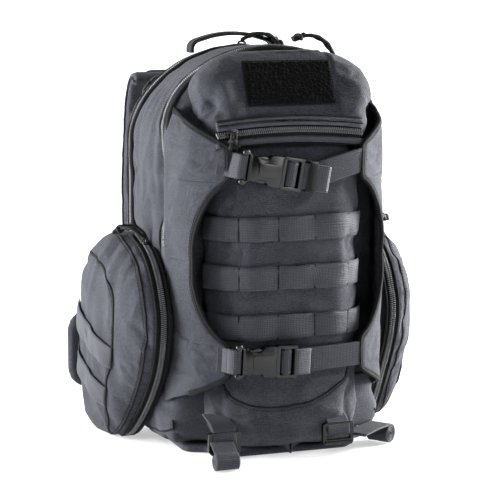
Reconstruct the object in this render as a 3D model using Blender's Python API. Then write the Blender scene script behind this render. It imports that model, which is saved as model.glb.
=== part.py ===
"""Tactical trauma backpack: three stacked compartments, a front pouch held by two buckled wings,
two side pouches, zips with sliders and cord pulls, a carry handle, shoulder straps and a hip belt.

Metres, +Z up. The front faces -Y. The origin is the middle of the base panel's underside.
"""

import math

import bmesh
import bpy
from mathutils import Matrix, Vector

GAP = 0.0003  # between pieces that rest on each other

# Planes of the compartments, front to back
PATCH_Y = -0.109
PATCH_FOOT = (0.090, -0.1045, 0.358)  # half width, front and height of the pocket's sloping face
PATCH_HEAD = (0.064, -0.0800, 0.407)
FRONT_Y = -0.058
MAIN_ZIP_Y = -0.038
REAR_ZIP_Y = 0.068
BACK_Y = 0.092
BASE_THICK = 0.008

# Three-centred arch of a compartment: half width, height of the spring line, corner radius, crown
MAIN_ARCH = {"half": 0.115, "spring": 0.330, "corner": 0.070, "crown": 0.416}
REAR_ARCH = {"half": 0.118, "spring": 0.312, "corner": 0.080, "crown": 0.411}
FOOT_RADIUS = 0.020
ZIP_END_Z = 0.215  # where the compartment zips stop, above the side pouches

POUCH_HALF = 0.083
POUCH_LOW, POUCH_TOP = BASE_THICK + GAP, 0.322
POUCH_FOOT = 0.034
POUCH_PROFILE = (  # y, how far the sides draw in there, and how far the ends do
    (-0.0583, 0.000, 0.000), (-0.080, 0.002, 0.000), (-0.094, 0.008, 0.002),
    (-0.103, 0.018, 0.006), (-0.109, 0.031, 0.013),
)

WEBBING = 0.025
WEBBING_THICK = 0.0016
SLOT = 0.0038  # height of a strap slot
MOLLE_ROWS = (0.238, 0.188, 0.138)

SIDE_SECTIONS = (  # distance out, depth kept from the back edge, rise of the foot, fall of the top
    (0.1213, 1.00, 0.000, 0.000), (0.1440, 0.98, 0.000, 0.000), (0.1590, 0.76, 0.007, 0.009),
    (0.1690, 0.58, 0.020, 0.026), (0.1735, 0.42, 0.039, 0.045),
)
SIDE_BACK_Y = 0.086
SIDE_ARC = (0.0145, 0.1292, 0.0844)  # middle (y, z) and radius of the curve that the side zip's slider runs on
SIDE_ZIP_X = 0.127
SIDE_SLIDER_ANGLE = 104
SIDE_BANDS = (0.112, 0.060)

WING_SEAM = Vector((0.1172, -0.043))
WING_BEND = Vector((0.105, -0.102))
WING_TIP = Vector((0.071, -0.1150))
WING_THICK = 0.0016

BUCKLE_Y = -0.1245  # middle of the buckles' thickness
SOCKET = {"length": 0.043, "height": 0.033, "thick": 0.011}
PLUG_BASE = 0.023
PRONG = 0.026
BUCKLES = {  # x of the socket's webbing end, height there, droop towards the plug
    "upper": {"x": -0.064, "z": 0.3035, "droop": math.radians(10), "wing": 0.304},
    "lower": {"x": -0.070, "z": 0.1070, "droop": math.radians(3), "wing": 0.105},
}

STRAP_X = 0.070
STRAP_WIDE = 0.062
STRAP_THICK = 0.012
STRAP_PATH = (  # (y, z) of a shoulder strap's middle, from its seam down
    (0.1118, 0.3720), (0.1220, 0.3780), (0.1350, 0.3700), (0.1450, 0.3450), (0.1495, 0.3050), (0.1510, 0.2550), (0.1440, 0.1950), (0.1310, 0.1450),
)

MATERIALS = {  # colour, roughness, metallic
    "cordura": ((0.055, 0.057, 0.063), 0.85, 0.0),
    "webbing": ((0.050, 0.052, 0.057), 0.75, 0.0),
    "loop_pile": ((0.012, 0.012, 0.014), 0.95, 0.0),
    "buckle_plastic": ((0.035, 0.036, 0.039), 0.42, 0.0),
    "zip_tape": ((0.018, 0.018, 0.020), 0.80, 0.0),
    "slider_metal": ((0.030, 0.030, 0.032), 0.35, 0.9),
    "cord": ((0.014, 0.014, 0.016), 0.70, 0.0),
    "back_mesh": ((0.022, 0.022, 0.025), 0.95, 0.0),
    "frame_plastic": ((0.060, 0.060, 0.062), 0.50, 0.0),
}


def clear_scene():
    for obj in list(bpy.data.objects):
        bpy.data.objects.remove(obj, do_unlink=True)


def material(name):
    if name in bpy.data.materials:
        return bpy.data.materials[name]
    made = bpy.data.materials.new(name)
    made.use_nodes = True
    colour, roughness, metallic = MATERIALS[name]
    shader = made.node_tree.nodes["Principled BSDF"]
    shader.inputs["Base Color"].default_value = (*colour, 1)
    shader.inputs["Roughness"].default_value = roughness
    shader.inputs["Metallic"].default_value = metallic
    return made


def finish(name, bm, finish_name):
    """Turns a bmesh into a named object, with its faces pointing out."""
    bmesh.ops.remove_doubles(bm, verts=bm.verts, dist=0.00001)
    bmesh.ops.recalc_face_normals(bm, faces=bm.faces)
    mesh = bpy.data.meshes.new(name)
    bm.to_mesh(mesh)
    bm.free()
    mesh.materials.append(material(finish_name))
    mesh.shade_smooth()
    mesh.set_sharp_from_angle(angle=math.radians(35))
    obj = bpy.data.objects.new(name, mesh)
    bpy.context.scene.collection.objects.link(obj)
    return obj


def loft(name, sections, finish_name):
    """A closed solid through rings of points, all of the same count, with flat ends."""
    bm = bmesh.new()
    rings = [[bm.verts.new(p) for p in section] for section in sections]
    for a, b in zip(rings, rings[1:]):
        for i in range(len(a)):
            j = (i + 1) % len(a)
            bm.faces.new((a[i], a[j], b[j], b[i]))
    bm.faces.new(rings[0])
    bm.faces.new(list(reversed(rings[-1])))
    return finish(name, bm, finish_name)


def box(bm, low, high):
    """Adds a closed box between two corners."""
    size = [h - l for l, h in zip(low, high)]
    middle = [(h + l) / 2 for l, h in zip(low, high)]
    place = Matrix.Translation(middle) @ Matrix.Diagonal((*size, 1))
    bmesh.ops.create_cube(bm, size=1, matrix=place)


def box_object(name, low, high, finish_name):
    bm = bmesh.new()
    box(bm, low, high)
    return finish(name, bm, finish_name)


def cut(obj, low, high):
    """Cuts a box out of an object, and keeps the result in its mesh."""
    cutter = box_object(obj.name + "_cutter", low, high, "buckle_plastic")
    cutter.hide_render = True
    cutter.display_type = "WIRE"
    modifier = obj.modifiers.new("cut", "BOOLEAN")
    modifier.object = cutter
    modifier.operation = "DIFFERENCE"
    bpy.context.view_layer.update()
    shaped = bpy.data.meshes.new_from_object(obj.evaluated_get(bpy.context.evaluated_depsgraph_get()))
    obj.modifiers.remove(modifier)
    obj.data = shaped
    bpy.data.objects.remove(cutter, do_unlink=True)


def arc(cx, cy, radius, start, end, steps):
    """Points on an arc, angles in degrees, both ends included."""
    angles = [math.radians(start + (end - start) * i / steps) for i in range(steps + 1)]
    return [(cx + radius * math.cos(a), cy + radius * math.sin(a)) for a in angles]


def crown_circle(arch):
    """(height of the centre, radius, half angle in degrees) of an arch's top arc."""
    inner = arch["half"] - arch["corner"]
    rise = arch["crown"] - arch["spring"]
    radius = (inner**2 + rise**2 - arch["corner"] ** 2) / (2 * (rise - arch["corner"]))
    centre = arch["crown"] - radius
    return centre, radius, math.degrees(math.atan2(inner, arch["spring"] - centre))


def arch_outline(arch, inset=0.0, low=BASE_THICK + GAP):
    """(x, z) round the whole compartment, anticlockwise from the bottom right corner."""
    centre, radius, spread = crown_circle(arch)
    inner, foot = arch["half"] - arch["corner"], arch["half"] - FOOT_RADIUS
    corner, round_foot = arch["corner"] - inset, FOOT_RADIUS - inset
    points = arc(foot, low + FOOT_RADIUS, round_foot, -90, 0, 3)
    points += arc(inner, arch["spring"], corner, 0, 90 - spread, 5)
    points += arc(0, centre, radius - inset, 90 - spread, 90 + spread, 8)[1:-1]
    points += arc(-inner, arch["spring"], corner, 90 + spread, 180, 5)
    points += arc(-foot, low + FOOT_RADIUS, round_foot, 180, 270, 3)
    return points


def arch_zip_path(arch):
    """[((x, z), outward normal)] of a compartment's zip, from its right end over the crown to its left."""
    centre, radius, spread = crown_circle(arch)
    inner = arch["half"] - arch["corner"]
    right = [((arch["half"], z), (1.0, 0.0)) for z in (ZIP_END_Z, (ZIP_END_Z + arch["spring"]) / 2)]
    path = list(right)
    pieces = ((inner, arch["spring"], arch["corner"], 0, 90 - spread, 5),
              (0, centre, radius, 90 - spread, 90 + spread, 12),
              (-inner, arch["spring"], arch["corner"], 90 + spread, 180, 5))
    for cx, cz, r, start, end, steps in pieces:
        for x, z in arc(cx, cz, r, start, end, steps):
            path.append(((x, z), ((x - cx) / r, (z - cz) / r)))
    path += [((-x, z), (-nx, nz)) for (x, z), (nx, nz) in reversed(right)]
    tidy = [path[0]]
    for step in path[1:]:
        if math.dist(step[0], tidy[-1][0]) > 0.001:
            tidy.append(step)
    return tidy


def flat_ring(outline, y):
    return [(x, y, z) for x, z in outline]


def smooth_loop(controls, per_span):
    """A closed Catmull-Rom curve through the control points."""
    count, points = len(controls), []
    for i in range(count):
        p0, p1, p2, p3 = (Vector(controls[(i + k - 1) % count]) for k in range(4))
        for step in range(per_span):
            t = step / per_span
            points.append(0.5 * (2 * p1 + (p2 - p0) * t + (2 * p0 - 5 * p1 + 4 * p2 - p3) * t**2
                                 + (3 * p1 - p0 - 3 * p2 + p3) * t**3))
    return points


def outward(points, i):
    """The outward normal of an anticlockwise closed outline at point i."""
    along = (points[(i + 1) % len(points)] - points[i - 1]).normalized()
    return Vector((along.y, -along.x))


def smooth_path(controls, per_span):
    """An open Catmull-Rom curve through the control points, ends included."""
    ends = [2 * Vector(controls[0]) - Vector(controls[1]), *map(Vector, controls),
            2 * Vector(controls[-1]) - Vector(controls[-2])]
    points = []
    for i in range(len(controls) - 1):
        p0, p1, p2, p3 = ends[i:i + 4]
        for step in range(per_span):
            t = step / per_span
            points.append(0.5 * (2 * p1 + (p2 - p0) * t + (2 * p0 - 5 * p1 + 4 * p2 - p3) * t**2
                                 + (3 * p1 - p0 - 3 * p2 + p3) * t**3))
    return points + [Vector(controls[-1])]


def ribbon(name, path, side, thick, wide, finish_name):
    """A flat strip along path = [(point, normal)], wide across side, thick from thick[0] to thick[1]."""
    sections = []
    for point, normal in path:
        point, normal = Vector(point), Vector(normal).normalized()
        sections.append([point + normal * t + side * w for t, w in (
            (thick[0], wide[0]), (thick[1], wide[0]), (thick[1], wide[1]), (thick[0], wide[1]))])
    return loft(name, sections, finish_name)


def tube(name, points, radius, finish_name, resolution=2):
    """A round cord with filled ends along the points."""
    curve = bpy.data.curves.new(name, "CURVE")
    curve.dimensions = "3D"
    curve.bevel_depth = radius
    curve.bevel_resolution = resolution
    curve.use_fill_caps = True
    spline = curve.splines.new("POLY")
    spline.points.add(len(points) - 1)
    for target, point in zip(spline.points, points):
        target.co = (*point, 1)
    curve.materials.append(material(finish_name))
    obj = bpy.data.objects.new(name, curve)
    bpy.context.scene.collection.objects.link(obj)
    return obj


# ---------------------------------------------------------------- compartments

def make_compartments():
    """The three stacked bags, the base panel under them, and the back pad with its stiffener."""
    main, rear = arch_outline(MAIN_ARCH), arch_outline(REAR_ARCH)
    loft("main_compartment", [flat_ring(main, MAIN_ZIP_Y + GAP), flat_ring(rear, REAR_ZIP_Y - GAP)], "cordura")
    rear_steps = ((REAR_ZIP_Y + GAP, 0.0), (0.072, 0.0), (0.080, -0.003), (0.088, -0.001), (BACK_Y, 0.006))
    loft("rear_compartment", [flat_ring(arch_outline(REAR_ARCH, i), y) for y, i in rear_steps], "cordura")
    front_steps = ((MAIN_ZIP_Y - GAP, 0.0), (-0.050, 0.003), (FRONT_Y, 0.008))
    loft("front_compartment", [flat_ring(arch_outline(MAIN_ARCH, i), y) for y, i in front_steps], "cordura")
    loft("base_panel", [base_ring(0.003, 0.0), base_ring(0.0, 0.0025), base_ring(0.0, BASE_THICK - GAP)], "cordura")


def base_ring(inset, z):
    """The base panel's outline: the compartments' width, narrower in front under the front pouch."""
    wide, narrow = 0.104 - inset, 0.078 - inset
    front, step, back = -0.097 + inset, -0.062 + inset, 0.066 - inset
    right = [(narrow - 0.012, front), (narrow, front + 0.012), (narrow + 0.004, step - 0.006), (wide - 0.006, step),
             (wide, step + 0.008), (wide, back)]
    return [(x, y, z) for x, y in right + [(-x, y) for x, y in reversed(right)]]


def rounded_rectangle(half, low, high, radius, steps=3):
    points = arc(half - radius, low + radius, radius, -90, 0, steps)
    points += arc(half - radius, high - radius, radius, 0, 90, steps)
    points += arc(-half + radius, high - radius, radius, 90, 180, steps)
    return points + arc(-half + radius, low + radius, radius, 180, 270, steps)


def make_back():
    start = BACK_Y + GAP
    sheet = rounded_rectangle(0.092, 0.040, 0.372, 0.025)
    loft("frame_sheet", [flat_ring(sheet, start), flat_ring(sheet, start + 0.002)], "frame_plastic")
    pad_start = start + 0.002 + GAP
    steps = ((pad_start, 0.0), (pad_start + 0.007, 0.0), (pad_start + 0.010, 0.004))
    rings = [flat_ring(rounded_rectangle(0.100 - i, 0.030 + i, 0.385 - i, 0.030 - i), y) for y, i in steps]
    loft("back_pad", rings, "back_mesh")


# ---------------------------------------------------------------- front pouch and admin pocket

def pouch_outline(sides, ends):
    low, top, half = POUCH_LOW + ends, POUCH_TOP - ends, POUCH_HALF - sides
    points = arc(half - POUCH_FOOT, low + POUCH_FOOT, POUCH_FOOT, -90, 0, 4)
    points += arc(half - 0.020, top - 0.020, 0.020, 0, 90, 3)
    points += arc(-half + 0.020, top - 0.020, 0.020, 90, 180, 3)
    return points + arc(-half + POUCH_FOOT, low + POUCH_FOOT, POUCH_FOOT, 180, 270, 4)


def make_front_pouch():
    loft("front_pouch", [flat_ring(pouch_outline(s, e), y) for y, s, e in POUCH_PROFILE], "cordura")


def admin_section(half, front, z):
    """A flat ring of the admin pocket, square at the back and round at the front corners."""
    radius = 0.018
    back = FRONT_Y - GAP
    points = [(x, y) for x, y in arc(half - radius, front + radius, radius, -90, 0, 3)]
    points += [(half, back), (-half, back)]
    points += arc(-half + radius, front + radius, radius, 180, 270, 3)
    return [(x, y, z) for x, y in points]


def make_admin_pocket():
    low = POUCH_TOP + 0.001
    waist = (0.086, *((PATCH_FOOT[i] + PATCH_HEAD[i]) / 2 for i in (1, 2)))
    steps = ((0.082, -0.104, low), (0.086, PATCH_Y, 0.329), (0.088, PATCH_Y, 0.345), PATCH_FOOT, waist,
             PATCH_HEAD, (0.050, -0.070, 0.412))
    loft("admin_pocket", [admin_section(*s) for s in steps], "cordura")


def patch_frame():
    """(middle, across, up, outward) of the loop patch on the admin pocket's sloping front."""
    low, high = (Vector((0, *place[1:])) for place in (PATCH_FOOT, PATCH_HEAD))
    up = (high - low).normalized()
    out = Vector((0, up.z, -up.y)) * -1
    return (low + high) / 2, Vector((1, 0, 0)), up, out


def make_loop_patch():
    middle, across, up, out = patch_frame()
    half_w, half_h = 0.047, 0.0240
    rings = []
    for depth, shrink in ((GAP, 0.0), (0.0022, 0.0), (0.003, 0.001)):
        w, h = half_w - shrink, half_h - shrink
        corners = ((-w, -h), (w, -h), (w, h), (-w, h))
        rings.append([middle + across * a + up * b + out * depth for a, b in corners])
    loft("loop_patch", rings, "loop_pile")


def pouch_wrap():
    """[(point, normal)] in plan round the front of the front pouch, right side to left side."""
    right = [(POUCH_HALF - sides, y) for y, sides, _ in POUCH_PROFILE]
    right[0] = (right[0][0], right[0][1] - 0.012)
    plan = right + [(-x, y) for x, y in reversed(right)]
    path = []
    for i, (x, y) in enumerate(plan):
        (ax, ay), (bx, by) = plan[max(i - 1, 0)], plan[min(i + 1, len(plan) - 1)]
        path.append(((x, y, 0), (ay - by, bx - ax, 0)))
    return path


def make_molle_rows():
    for row, z in enumerate(MOLLE_ROWS, start=1):
        ribbon(f"molle_row_{row}", pouch_wrap(), Vector((0, 0, 1)), (0.0008, 0.0008 + WEBBING_THICK),
               (z - WEBBING / 2, z + WEBBING / 2), "webbing")


# ---------------------------------------------------------------- side pouches

def side_outline():
    """(y, z) round a side pouch seen from its side: its front, foot and back, then the zip's curve."""
    controls = [(-0.064, 0.112), (-0.045, 0.082), (-0.012, 0.044), (0.018, 0.012), (0.045, 0.003), (0.070, 0.018),
                (0.083, 0.055), (SIDE_BACK_Y, 0.110), (0.084, 0.165), (0.070, 0.203), (0.043, 0.2205)]
    controls += arc(*SIDE_ARC, 100, 172, 5)
    return smooth_loop(controls, 2)


def side_ring(out, depth, rise, fall):
    """A side pouch's outline at a distance out, drawn in towards its back edge and between its ends."""
    outline = side_outline()
    foot, head = min(p.y for p in outline), max(p.y for p in outline)
    ring = []
    for p in outline:
        share = (p.y - foot) / (head - foot)
        ring.append((out, SIDE_BACK_Y + (p.x - SIDE_BACK_Y) * depth, p.y + rise * (1 - share) - fall * share))
    return ring


def side_zip_path(sign):
    """[(point, normal)] of a side pouch's zip, from its top down the front edge to the foot."""
    loop = side_outline()
    picked = [i % len(loop) for i in range(21, len(loop) + 8)]
    return [((sign * SIDE_ZIP_X, loop[i].x, loop[i].y), (0, *outward(loop, i))) for i in picked]


def make_side_pouch(side, sign):
    rings = [[(sign * x, y, z) for x, y, z in side_ring(*section)] for section in SIDE_SECTIONS]
    loft(f"{side}_side_pouch", rings, "cordura")
    ribbon(f"{side}_pouch_zip_track", side_zip_path(sign), Vector((sign, 0, 0)),
           (0.0006, 0.0026), (-0.005, 0.005), "zip_tape")
    for label, z in zip(("upper", "lower"), SIDE_BANDS):
        start, end = (0.030, 0.080) if label == "upper" else (0.034, 0.078)
        low = (min(sign * 0.1738, sign * 0.1754), start, z)
        high = (max(sign * 0.1738, sign * 0.1754), end, z + WEBBING)
        box_object(f"{side}_pouch_band_{label}", low, high, "webbing")


# ---------------------------------------------------------------- wings

def wing_point(t):
    """Plan position on the right wing, from its side seam (t = 0) to its buckle tip (t = 1)."""
    return WING_SEAM * (1 - t) ** 2 + WING_BEND * 2 * t * (1 - t) + WING_TIP * t * t


def wing_reach(z):
    """How far the wing reaches across at height z, as t: two tips with a scallop between them."""
    top, tip_top, tip_low = 0.357, 0.321, 0.287
    foot_top, foot_low, bottom = 0.122, 0.089, 0.055
    if z > tip_top:
        return (top - z) / (top - tip_top) * 0.98 + 0.02
    if z < foot_low:
        return (z - bottom) / (foot_low - bottom) * 0.98 + 0.02
    if foot_top < z < tip_low:
        middle, half = (foot_top + tip_low) / 2, (tip_low - foot_top) / 2
        return 1 - 0.50 * (1 - ((z - middle) / half) ** 2) ** 0.6
    return 1.0


def make_wing(side, sign):
    heights = (0.055, 0.072, 0.089, 0.106, 0.122, 0.128, 0.140, 0.162, 0.204, 0.246, 0.268, 0.281,
               0.287, 0.304, 0.321, 0.340, 0.357)
    columns = 5
    bm = bmesh.new()
    layers = []
    for depth in (0.0, WING_THICK):
        grid = []
        for z in heights:
            row = []
            for k in range(columns + 1):
                t = wing_reach(z) * k / columns
                here, ahead = wing_point(t), wing_point(t + 0.01)
                along = (ahead - here).normalized()
                point = here + Vector((-along.y, along.x)) * depth
                row.append(bm.verts.new((sign * point.x, point.y, z)))
            grid.append(row)
        layers.append(grid)
    last_row, last_col = len(heights) - 1, columns
    for grid in layers:
        for i in range(last_row):
            for k in range(last_col):
                bm.faces.new((grid[i][k], grid[i][k + 1], grid[i + 1][k + 1], grid[i + 1][k]))
    rim = [(0, k) for k in range(last_col)] + [(i, last_col) for i in range(last_row)]
    rim += [(last_row, k) for k in range(last_col, 0, -1)] + [(i, 0) for i in range(last_row, 0, -1)]
    for (i, k), (m, n) in zip(rim, rim[1:] + rim[:1]):
        bm.faces.new((layers[0][i][k], layers[0][m][n], layers[1][m][n], layers[1][i][k]))
    finish(f"{side}_wing", bm, "cordura")


# ---------------------------------------------------------------- buckles and their straps

def buckle_place(level):
    """Matrix from a buckle's own axes (x along the strap, y out, z up) to its place on the pack."""
    spec = BUCKLES[level]
    spot = Matrix.Translation((spec["x"], BUCKLE_Y, spec["z"]))
    return spot @ Matrix.Rotation(spec["droop"], 4, "Y")


def make_socket(name, place):
    """The receiving half: a flat case open at its mouth, with a window each side and a webbing bar."""
    length, height, thick = SOCKET["length"], SOCKET["height"], SOCKET["thick"]
    half_h, half_t = height / 2, thick / 2
    obj = box_object(name, (0, -half_t, -half_h), (length, half_t, half_h), "buckle_plastic")
    cut(obj, (0.0040, -0.02, -half_h + 0.0035), (0.0040 + SLOT, 0.02, half_h - 0.0035))
    cut(obj, (0.0130, -half_t + 0.0020, -half_h + 0.0020), (0.06, half_t - 0.0020, half_h - 0.0020))
    for sign in (-1, 1):
        low, high = sorted((sign * (half_h - 0.0035), sign * 0.03))
        cut(obj, (0.0150, -0.02, low), (0.0290, 0.02, high))
    obj.matrix_world = place
    return obj


def make_plug(name, place):
    """The inserted half: a guide and two prongs, then a ladder frame for the adjustable webbing."""
    length, height, thick = SOCKET["length"], SOCKET["height"], SOCKET["thick"]
    half_h = height / 2
    start, end = length + GAP, length + PLUG_BASE
    bm = bmesh.new()
    frame = ((start, -0.0045, -half_h), (end, 0.0045, half_h))
    box(bm, *frame)
    obj = finish(name, bm, "buckle_plastic")
    for left in (start + 0.0045, end - 0.0040 - SLOT):
        cut(obj, (left, -0.02, -half_h + 0.003), (left + SLOT, 0.02, half_h - 0.003))
    inside = thick / 2 - 0.0020 - 0.0004
    tips = bpy.data.collections.new(name + "_prongs")
    for low, high in ((-0.0020, 0.0020), (-0.0138, -0.0092), (0.0092, 0.0138)):
        prong = box_object(name + "_prong", (start - PRONG, -inside, low), (start + 0.002, inside, high),
                           "buckle_plastic")
        prong.hide_render = True
        tips.objects.link(prong)
        modifier = obj.modifiers.new("prong", "BOOLEAN")
        modifier.operation = "UNION"
        modifier.object = prong
    bpy.context.view_layer.update()
    obj.data = bpy.data.meshes.new_from_object(obj.evaluated_get(bpy.context.evaluated_depsgraph_get()))
    obj.modifiers.clear()
    for prong in list(tips.objects):
        bpy.data.objects.remove(prong, do_unlink=True)
    obj.matrix_world = place
    return obj


def strap_between(name, start, end, across):
    """A strip of webbing 25 mm wide between two points on the front, its ends parallel to across."""
    start, end = Vector(start), Vector(end)
    face = Vector(across).cross(end - start).normalized()
    half = WEBBING_THICK / 2
    return ribbon(name, [(start, face), (end, face)], Vector(across), (-half, half),
                  (-WEBBING / 2, WEBBING / 2), "webbing")


def make_buckles():
    for level, spec in BUCKLES.items():
        place = buckle_place(level)
        make_socket(f"{level}_buckle_socket", place)
        make_plug(f"{level}_buckle_plug", place)
        up = place.to_3x3() @ Vector((0, 0, 1))
        near = place @ Vector((-4 * GAP, 0.0012, 0))
        strap_between(f"{level}_socket_strap", (-0.0735, -0.1190, near.z), near, up)
        far = place @ Vector((SOCKET["length"] + PLUG_BASE + 2 * GAP, 0.0012, 0))
        strap_between(f"{level}_plug_strap", far, (0.0735, -0.1190, spec["wing"]), up)


# ---------------------------------------------------------------- zips, sliders and pulls

def make_zip_tracks():
    for name, arch, y in (("rear_zip_track", REAR_ARCH, REAR_ZIP_Y), ("main_zip_track", MAIN_ARCH, MAIN_ZIP_Y)):
        path = [((x, y, z), (nx, 0, nz)) for (x, z), (nx, nz) in arch_zip_path(arch)]
        ribbon(name, path, Vector((0, 1, 0)), (2 * GAP, 0.0027), (-0.0035, 0.0035), "zip_tape")
    box_object("admin_zip_track", (-0.080, PATCH_Y - 0.0022, 0.3325), (0.076, PATCH_Y - GAP, 0.3395), "zip_tape")


def slider_at(name, origin, along, out, track_top):
    """A zip slider: a flat block over the track with a raised bridge that its pull hangs from."""
    along, out = Vector(along).normalized(), Vector(out).normalized()
    across = out.cross(along)
    bm = bmesh.new()
    box(bm, (-0.006, -0.0042, 0.0), (0.006, 0.0042, 0.0026))
    top = [f for f in bm.faces if f.normal.z > 0.9]
    inset = bmesh.ops.inset_region(bm, faces=top, thickness=0.0026)
    raised = bmesh.ops.extrude_face_region(bm, geom=top)
    moved = [v for v in raised["geom"] if isinstance(v, bmesh.types.BMVert)]
    bmesh.ops.delete(bm, geom=top, context="FACES_ONLY")
    bmesh.ops.translate(bm, verts=moved, vec=(0, 0, 0.0022))
    obj = finish(name, bm, "slider_metal")
    turn = Matrix((along, across, out)).transposed().to_4x4()
    obj.matrix_world = Matrix.Translation(Vector(origin) + out * (track_top + GAP)) @ turn
    return obj


def crown_point(arch, degrees):
    """((x, z), along, out) on an arch's top arc, degrees from the vertical towards +X."""
    centre, radius, _ = crown_circle(arch)
    a = math.radians(degrees)
    return ((radius * math.sin(a), centre + radius * math.cos(a)), (math.cos(a), 0, -math.sin(a)),
            (math.sin(a), 0, math.cos(a)))


PULLS = {  # arch, plane, slider's angle on the crown, and the pull's arc as (along, out) from the slider
    "rear_left": (REAR_ARCH, REAR_ZIP_Y, 3.0, 1),
    "rear_right": (REAR_ARCH, REAR_ZIP_Y, 24.0, 1),
    "main": (MAIN_ARCH, MAIN_ZIP_Y, 28.0, -1),
}
PULL_ARC = ((0.0000, 0.0076), (0.0080, 0.0120), (0.0200, 0.0150), (0.0330, 0.0125), (0.0440, 0.0050))
SHORT_PULL = ((0.0000, 0.0076), (0.0080, 0.0090), (0.0200, 0.0095), (0.0300, 0.0075))
CORD_RADIUS = 0.0021


def pull_along(name, origin, along, out, shape):
    along, out, origin = Vector(along).normalized(), Vector(out).normalized(), Vector(origin)
    points = [origin + along * a + out * b for a, b in smooth_path(shape, 2)]
    tube(name, points, CORD_RADIUS, "cord")


def make_sliders():
    for label, (arch, y, degrees, way) in PULLS.items():
        (x, z), along, out = crown_point(arch, degrees)
        slider_at(f"{label}_slider", (x, y, z), along, out, 0.0025)
        pull_along(f"{label}_pull", Vector((x, y, z)) + Vector(out) * 0.0025, Vector(along) * way, out,
                   SHORT_PULL if label == "rear_right" else PULL_ARC)
    start = Vector((-0.068, PATCH_Y - 0.0022, 0.336))
    slider_at("admin_slider", start, (1, 0, 0), (0, -1, 0), 0.0)
    tube("admin_pull", [start + Vector((0, -0.0078, -d)) for d in (0.0, 0.006, 0.012)], CORD_RADIUS, "cord")
    for side, sign in (("left", -1), ("right", 1)):
        middle_y, middle_z, radius = SIDE_ARC
        angle = math.radians(SIDE_SLIDER_ANGLE)
        out = Vector((0, math.cos(angle), math.sin(angle)))
        along = Vector((0, -out.z, out.y))
        point = Vector((sign * SIDE_ZIP_X, middle_y, middle_z)) + out * (radius + 0.0006)
        slider_at(f"{side}_pouch_slider", point, along, out, 0.0026)
        back = Vector((sign * 0.75, 0.55, 0.10)).normalized()
        shape = ((0.0, 0.0076), (0.0090, 0.0100), (0.0180, 0.0110), (0.0270, 0.0080))
        pull_along(f"{side}_pouch_pull", point + out * 0.0026, back, out, shape)


# ---------------------------------------------------------------- handle, shoulder straps, hip belt

HANDLE_Y = (0.0740, 0.0880)
HANDLE_FOOT = (0.049, 0.4075)  # half width and height where the loop's ends meet the pack
HANDLE_CROWN = 0.4285
HANDLE_THICK = 0.003


def make_handle():
    """A webbing loop standing on the rear compartment, seen from the front as a low arch."""
    half, foot = HANDLE_FOOT
    outer = [(half, foot), (half, foot + 0.0080), (half - 0.004, foot + 0.0130), (half - 0.022, HANDLE_CROWN - 0.0025),
             (0, HANDLE_CROWN)]
    inner = [(half - HANDLE_THICK, foot), (half - HANDLE_THICK, foot + 0.0070), (half - 0.006, foot + 0.0100),
             (half - 0.023, HANDLE_CROWN - HANDLE_THICK - 0.0025), (0, HANDLE_CROWN - HANDLE_THICK)]
    right = outer + [(-x, z) for x, z in reversed(outer[:-1])]
    left = [(-x, z) for x, z in inner] + [(x, z) for x, z in reversed(inner[:-1])]
    loft("carry_handle", [flat_ring(right + left, y) for y in HANDLE_Y], "webbing")


def strap_path(sign):
    """[(middle, normal)] of a shoulder strap, in world space, curving out to the pack's side low down."""
    points = [Vector(p) for p in smooth_path(STRAP_PATH, 2)]
    path = []
    for i, p in enumerate(points):
        before, after = points[max(i - 1, 0)], points[min(i + 1, len(points) - 1)]
        along = (after - before).normalized()
        share = i / (len(points) - 1)
        x = STRAP_X + 0.010 * share**2
        path.append(((sign * x, p.x, p.y), (0, -along.y, along.x)))
    return path


def make_shoulder_straps():
    for side, sign in (("left", -1), ("right", 1)):
        ribbon(f"{side}_shoulder_strap", strap_path(sign), Vector((1, 0, 0)),
               (-STRAP_THICK / 2, STRAP_THICK / 2), (-STRAP_WIDE / 2, STRAP_WIDE / 2), "cordura")
        x = sign * (STRAP_X + 0.010)
        lock = box_object(f"{side}_strap_ladderlock", (x - 0.017, -0.003, -0.028), (x + 0.017, 0.003, -0.001),
                          "buckle_plastic")
        for top in (-0.0060, -0.0180):
            cut(lock, (x - 0.0135, -0.02, top - SLOT), (x + 0.0135, 0.02, top))
        lock.matrix_world = Matrix.Translation((0, 0.1295, 0.1425)) @ Matrix.Rotation(math.radians(-14), 4, "X")
        low, high = Vector((sign * 0.1155, 0.0985, 0.024)), Vector((x, 0.1220, 0.1125))
        along = (high - low).normalized()
        face = along.cross(Vector((1, 0, 0))).normalized()
        ribbon(f"{side}_strap_webbing", [(low, face), (high, face)], Vector((1, 0, 0)),
               (0, WEBBING_THICK), (-WEBBING / 2, WEBBING / 2), "webbing")


HIP_X = (0.108, 0.184)
HIP_Y = (0.0927, 0.1040)
HIP_Z = (0.043, 0.128)


def make_hip_belt():
    for side, sign in (("left", -1), ("right", 1)):
        rings = []
        for y, inset in ((HIP_Y[0], 0.004), (HIP_Y[0] + 0.004, 0.0), (HIP_Y[1] - 0.004, 0.0), (HIP_Y[1], 0.004)):
            low, high, near, far, r = HIP_Z[0] + inset, HIP_Z[1] - inset, HIP_X[0] + 0.002, HIP_X[1] - inset, 0.020
            outline = [(near, low)] + arc(far - r, low + r, r, -90, 0, 3) + arc(far - r, high - r, r, 0, 90, 3)
            rings.append([(sign * x, y, z) for x, z in outline + [(near, high)]])
        loft(f"{side}_hip_wing", rings, "cordura")
    middle = (HIP_Z[0] + HIP_Z[1]) / 2
    facing = Matrix.Rotation(math.radians(180), 4, "Z")
    socket_place = Matrix.Translation((-0.120, HIP_Y[1] + 0.0065, middle)) @ facing
    make_socket("hip_buckle_socket", socket_place)
    plug_reach = SOCKET["length"] - PRONG
    make_plug("hip_buckle_plug", Matrix.Translation((0.178 + plug_reach, HIP_Y[1] + 0.0065, middle)) @ facing)


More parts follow.
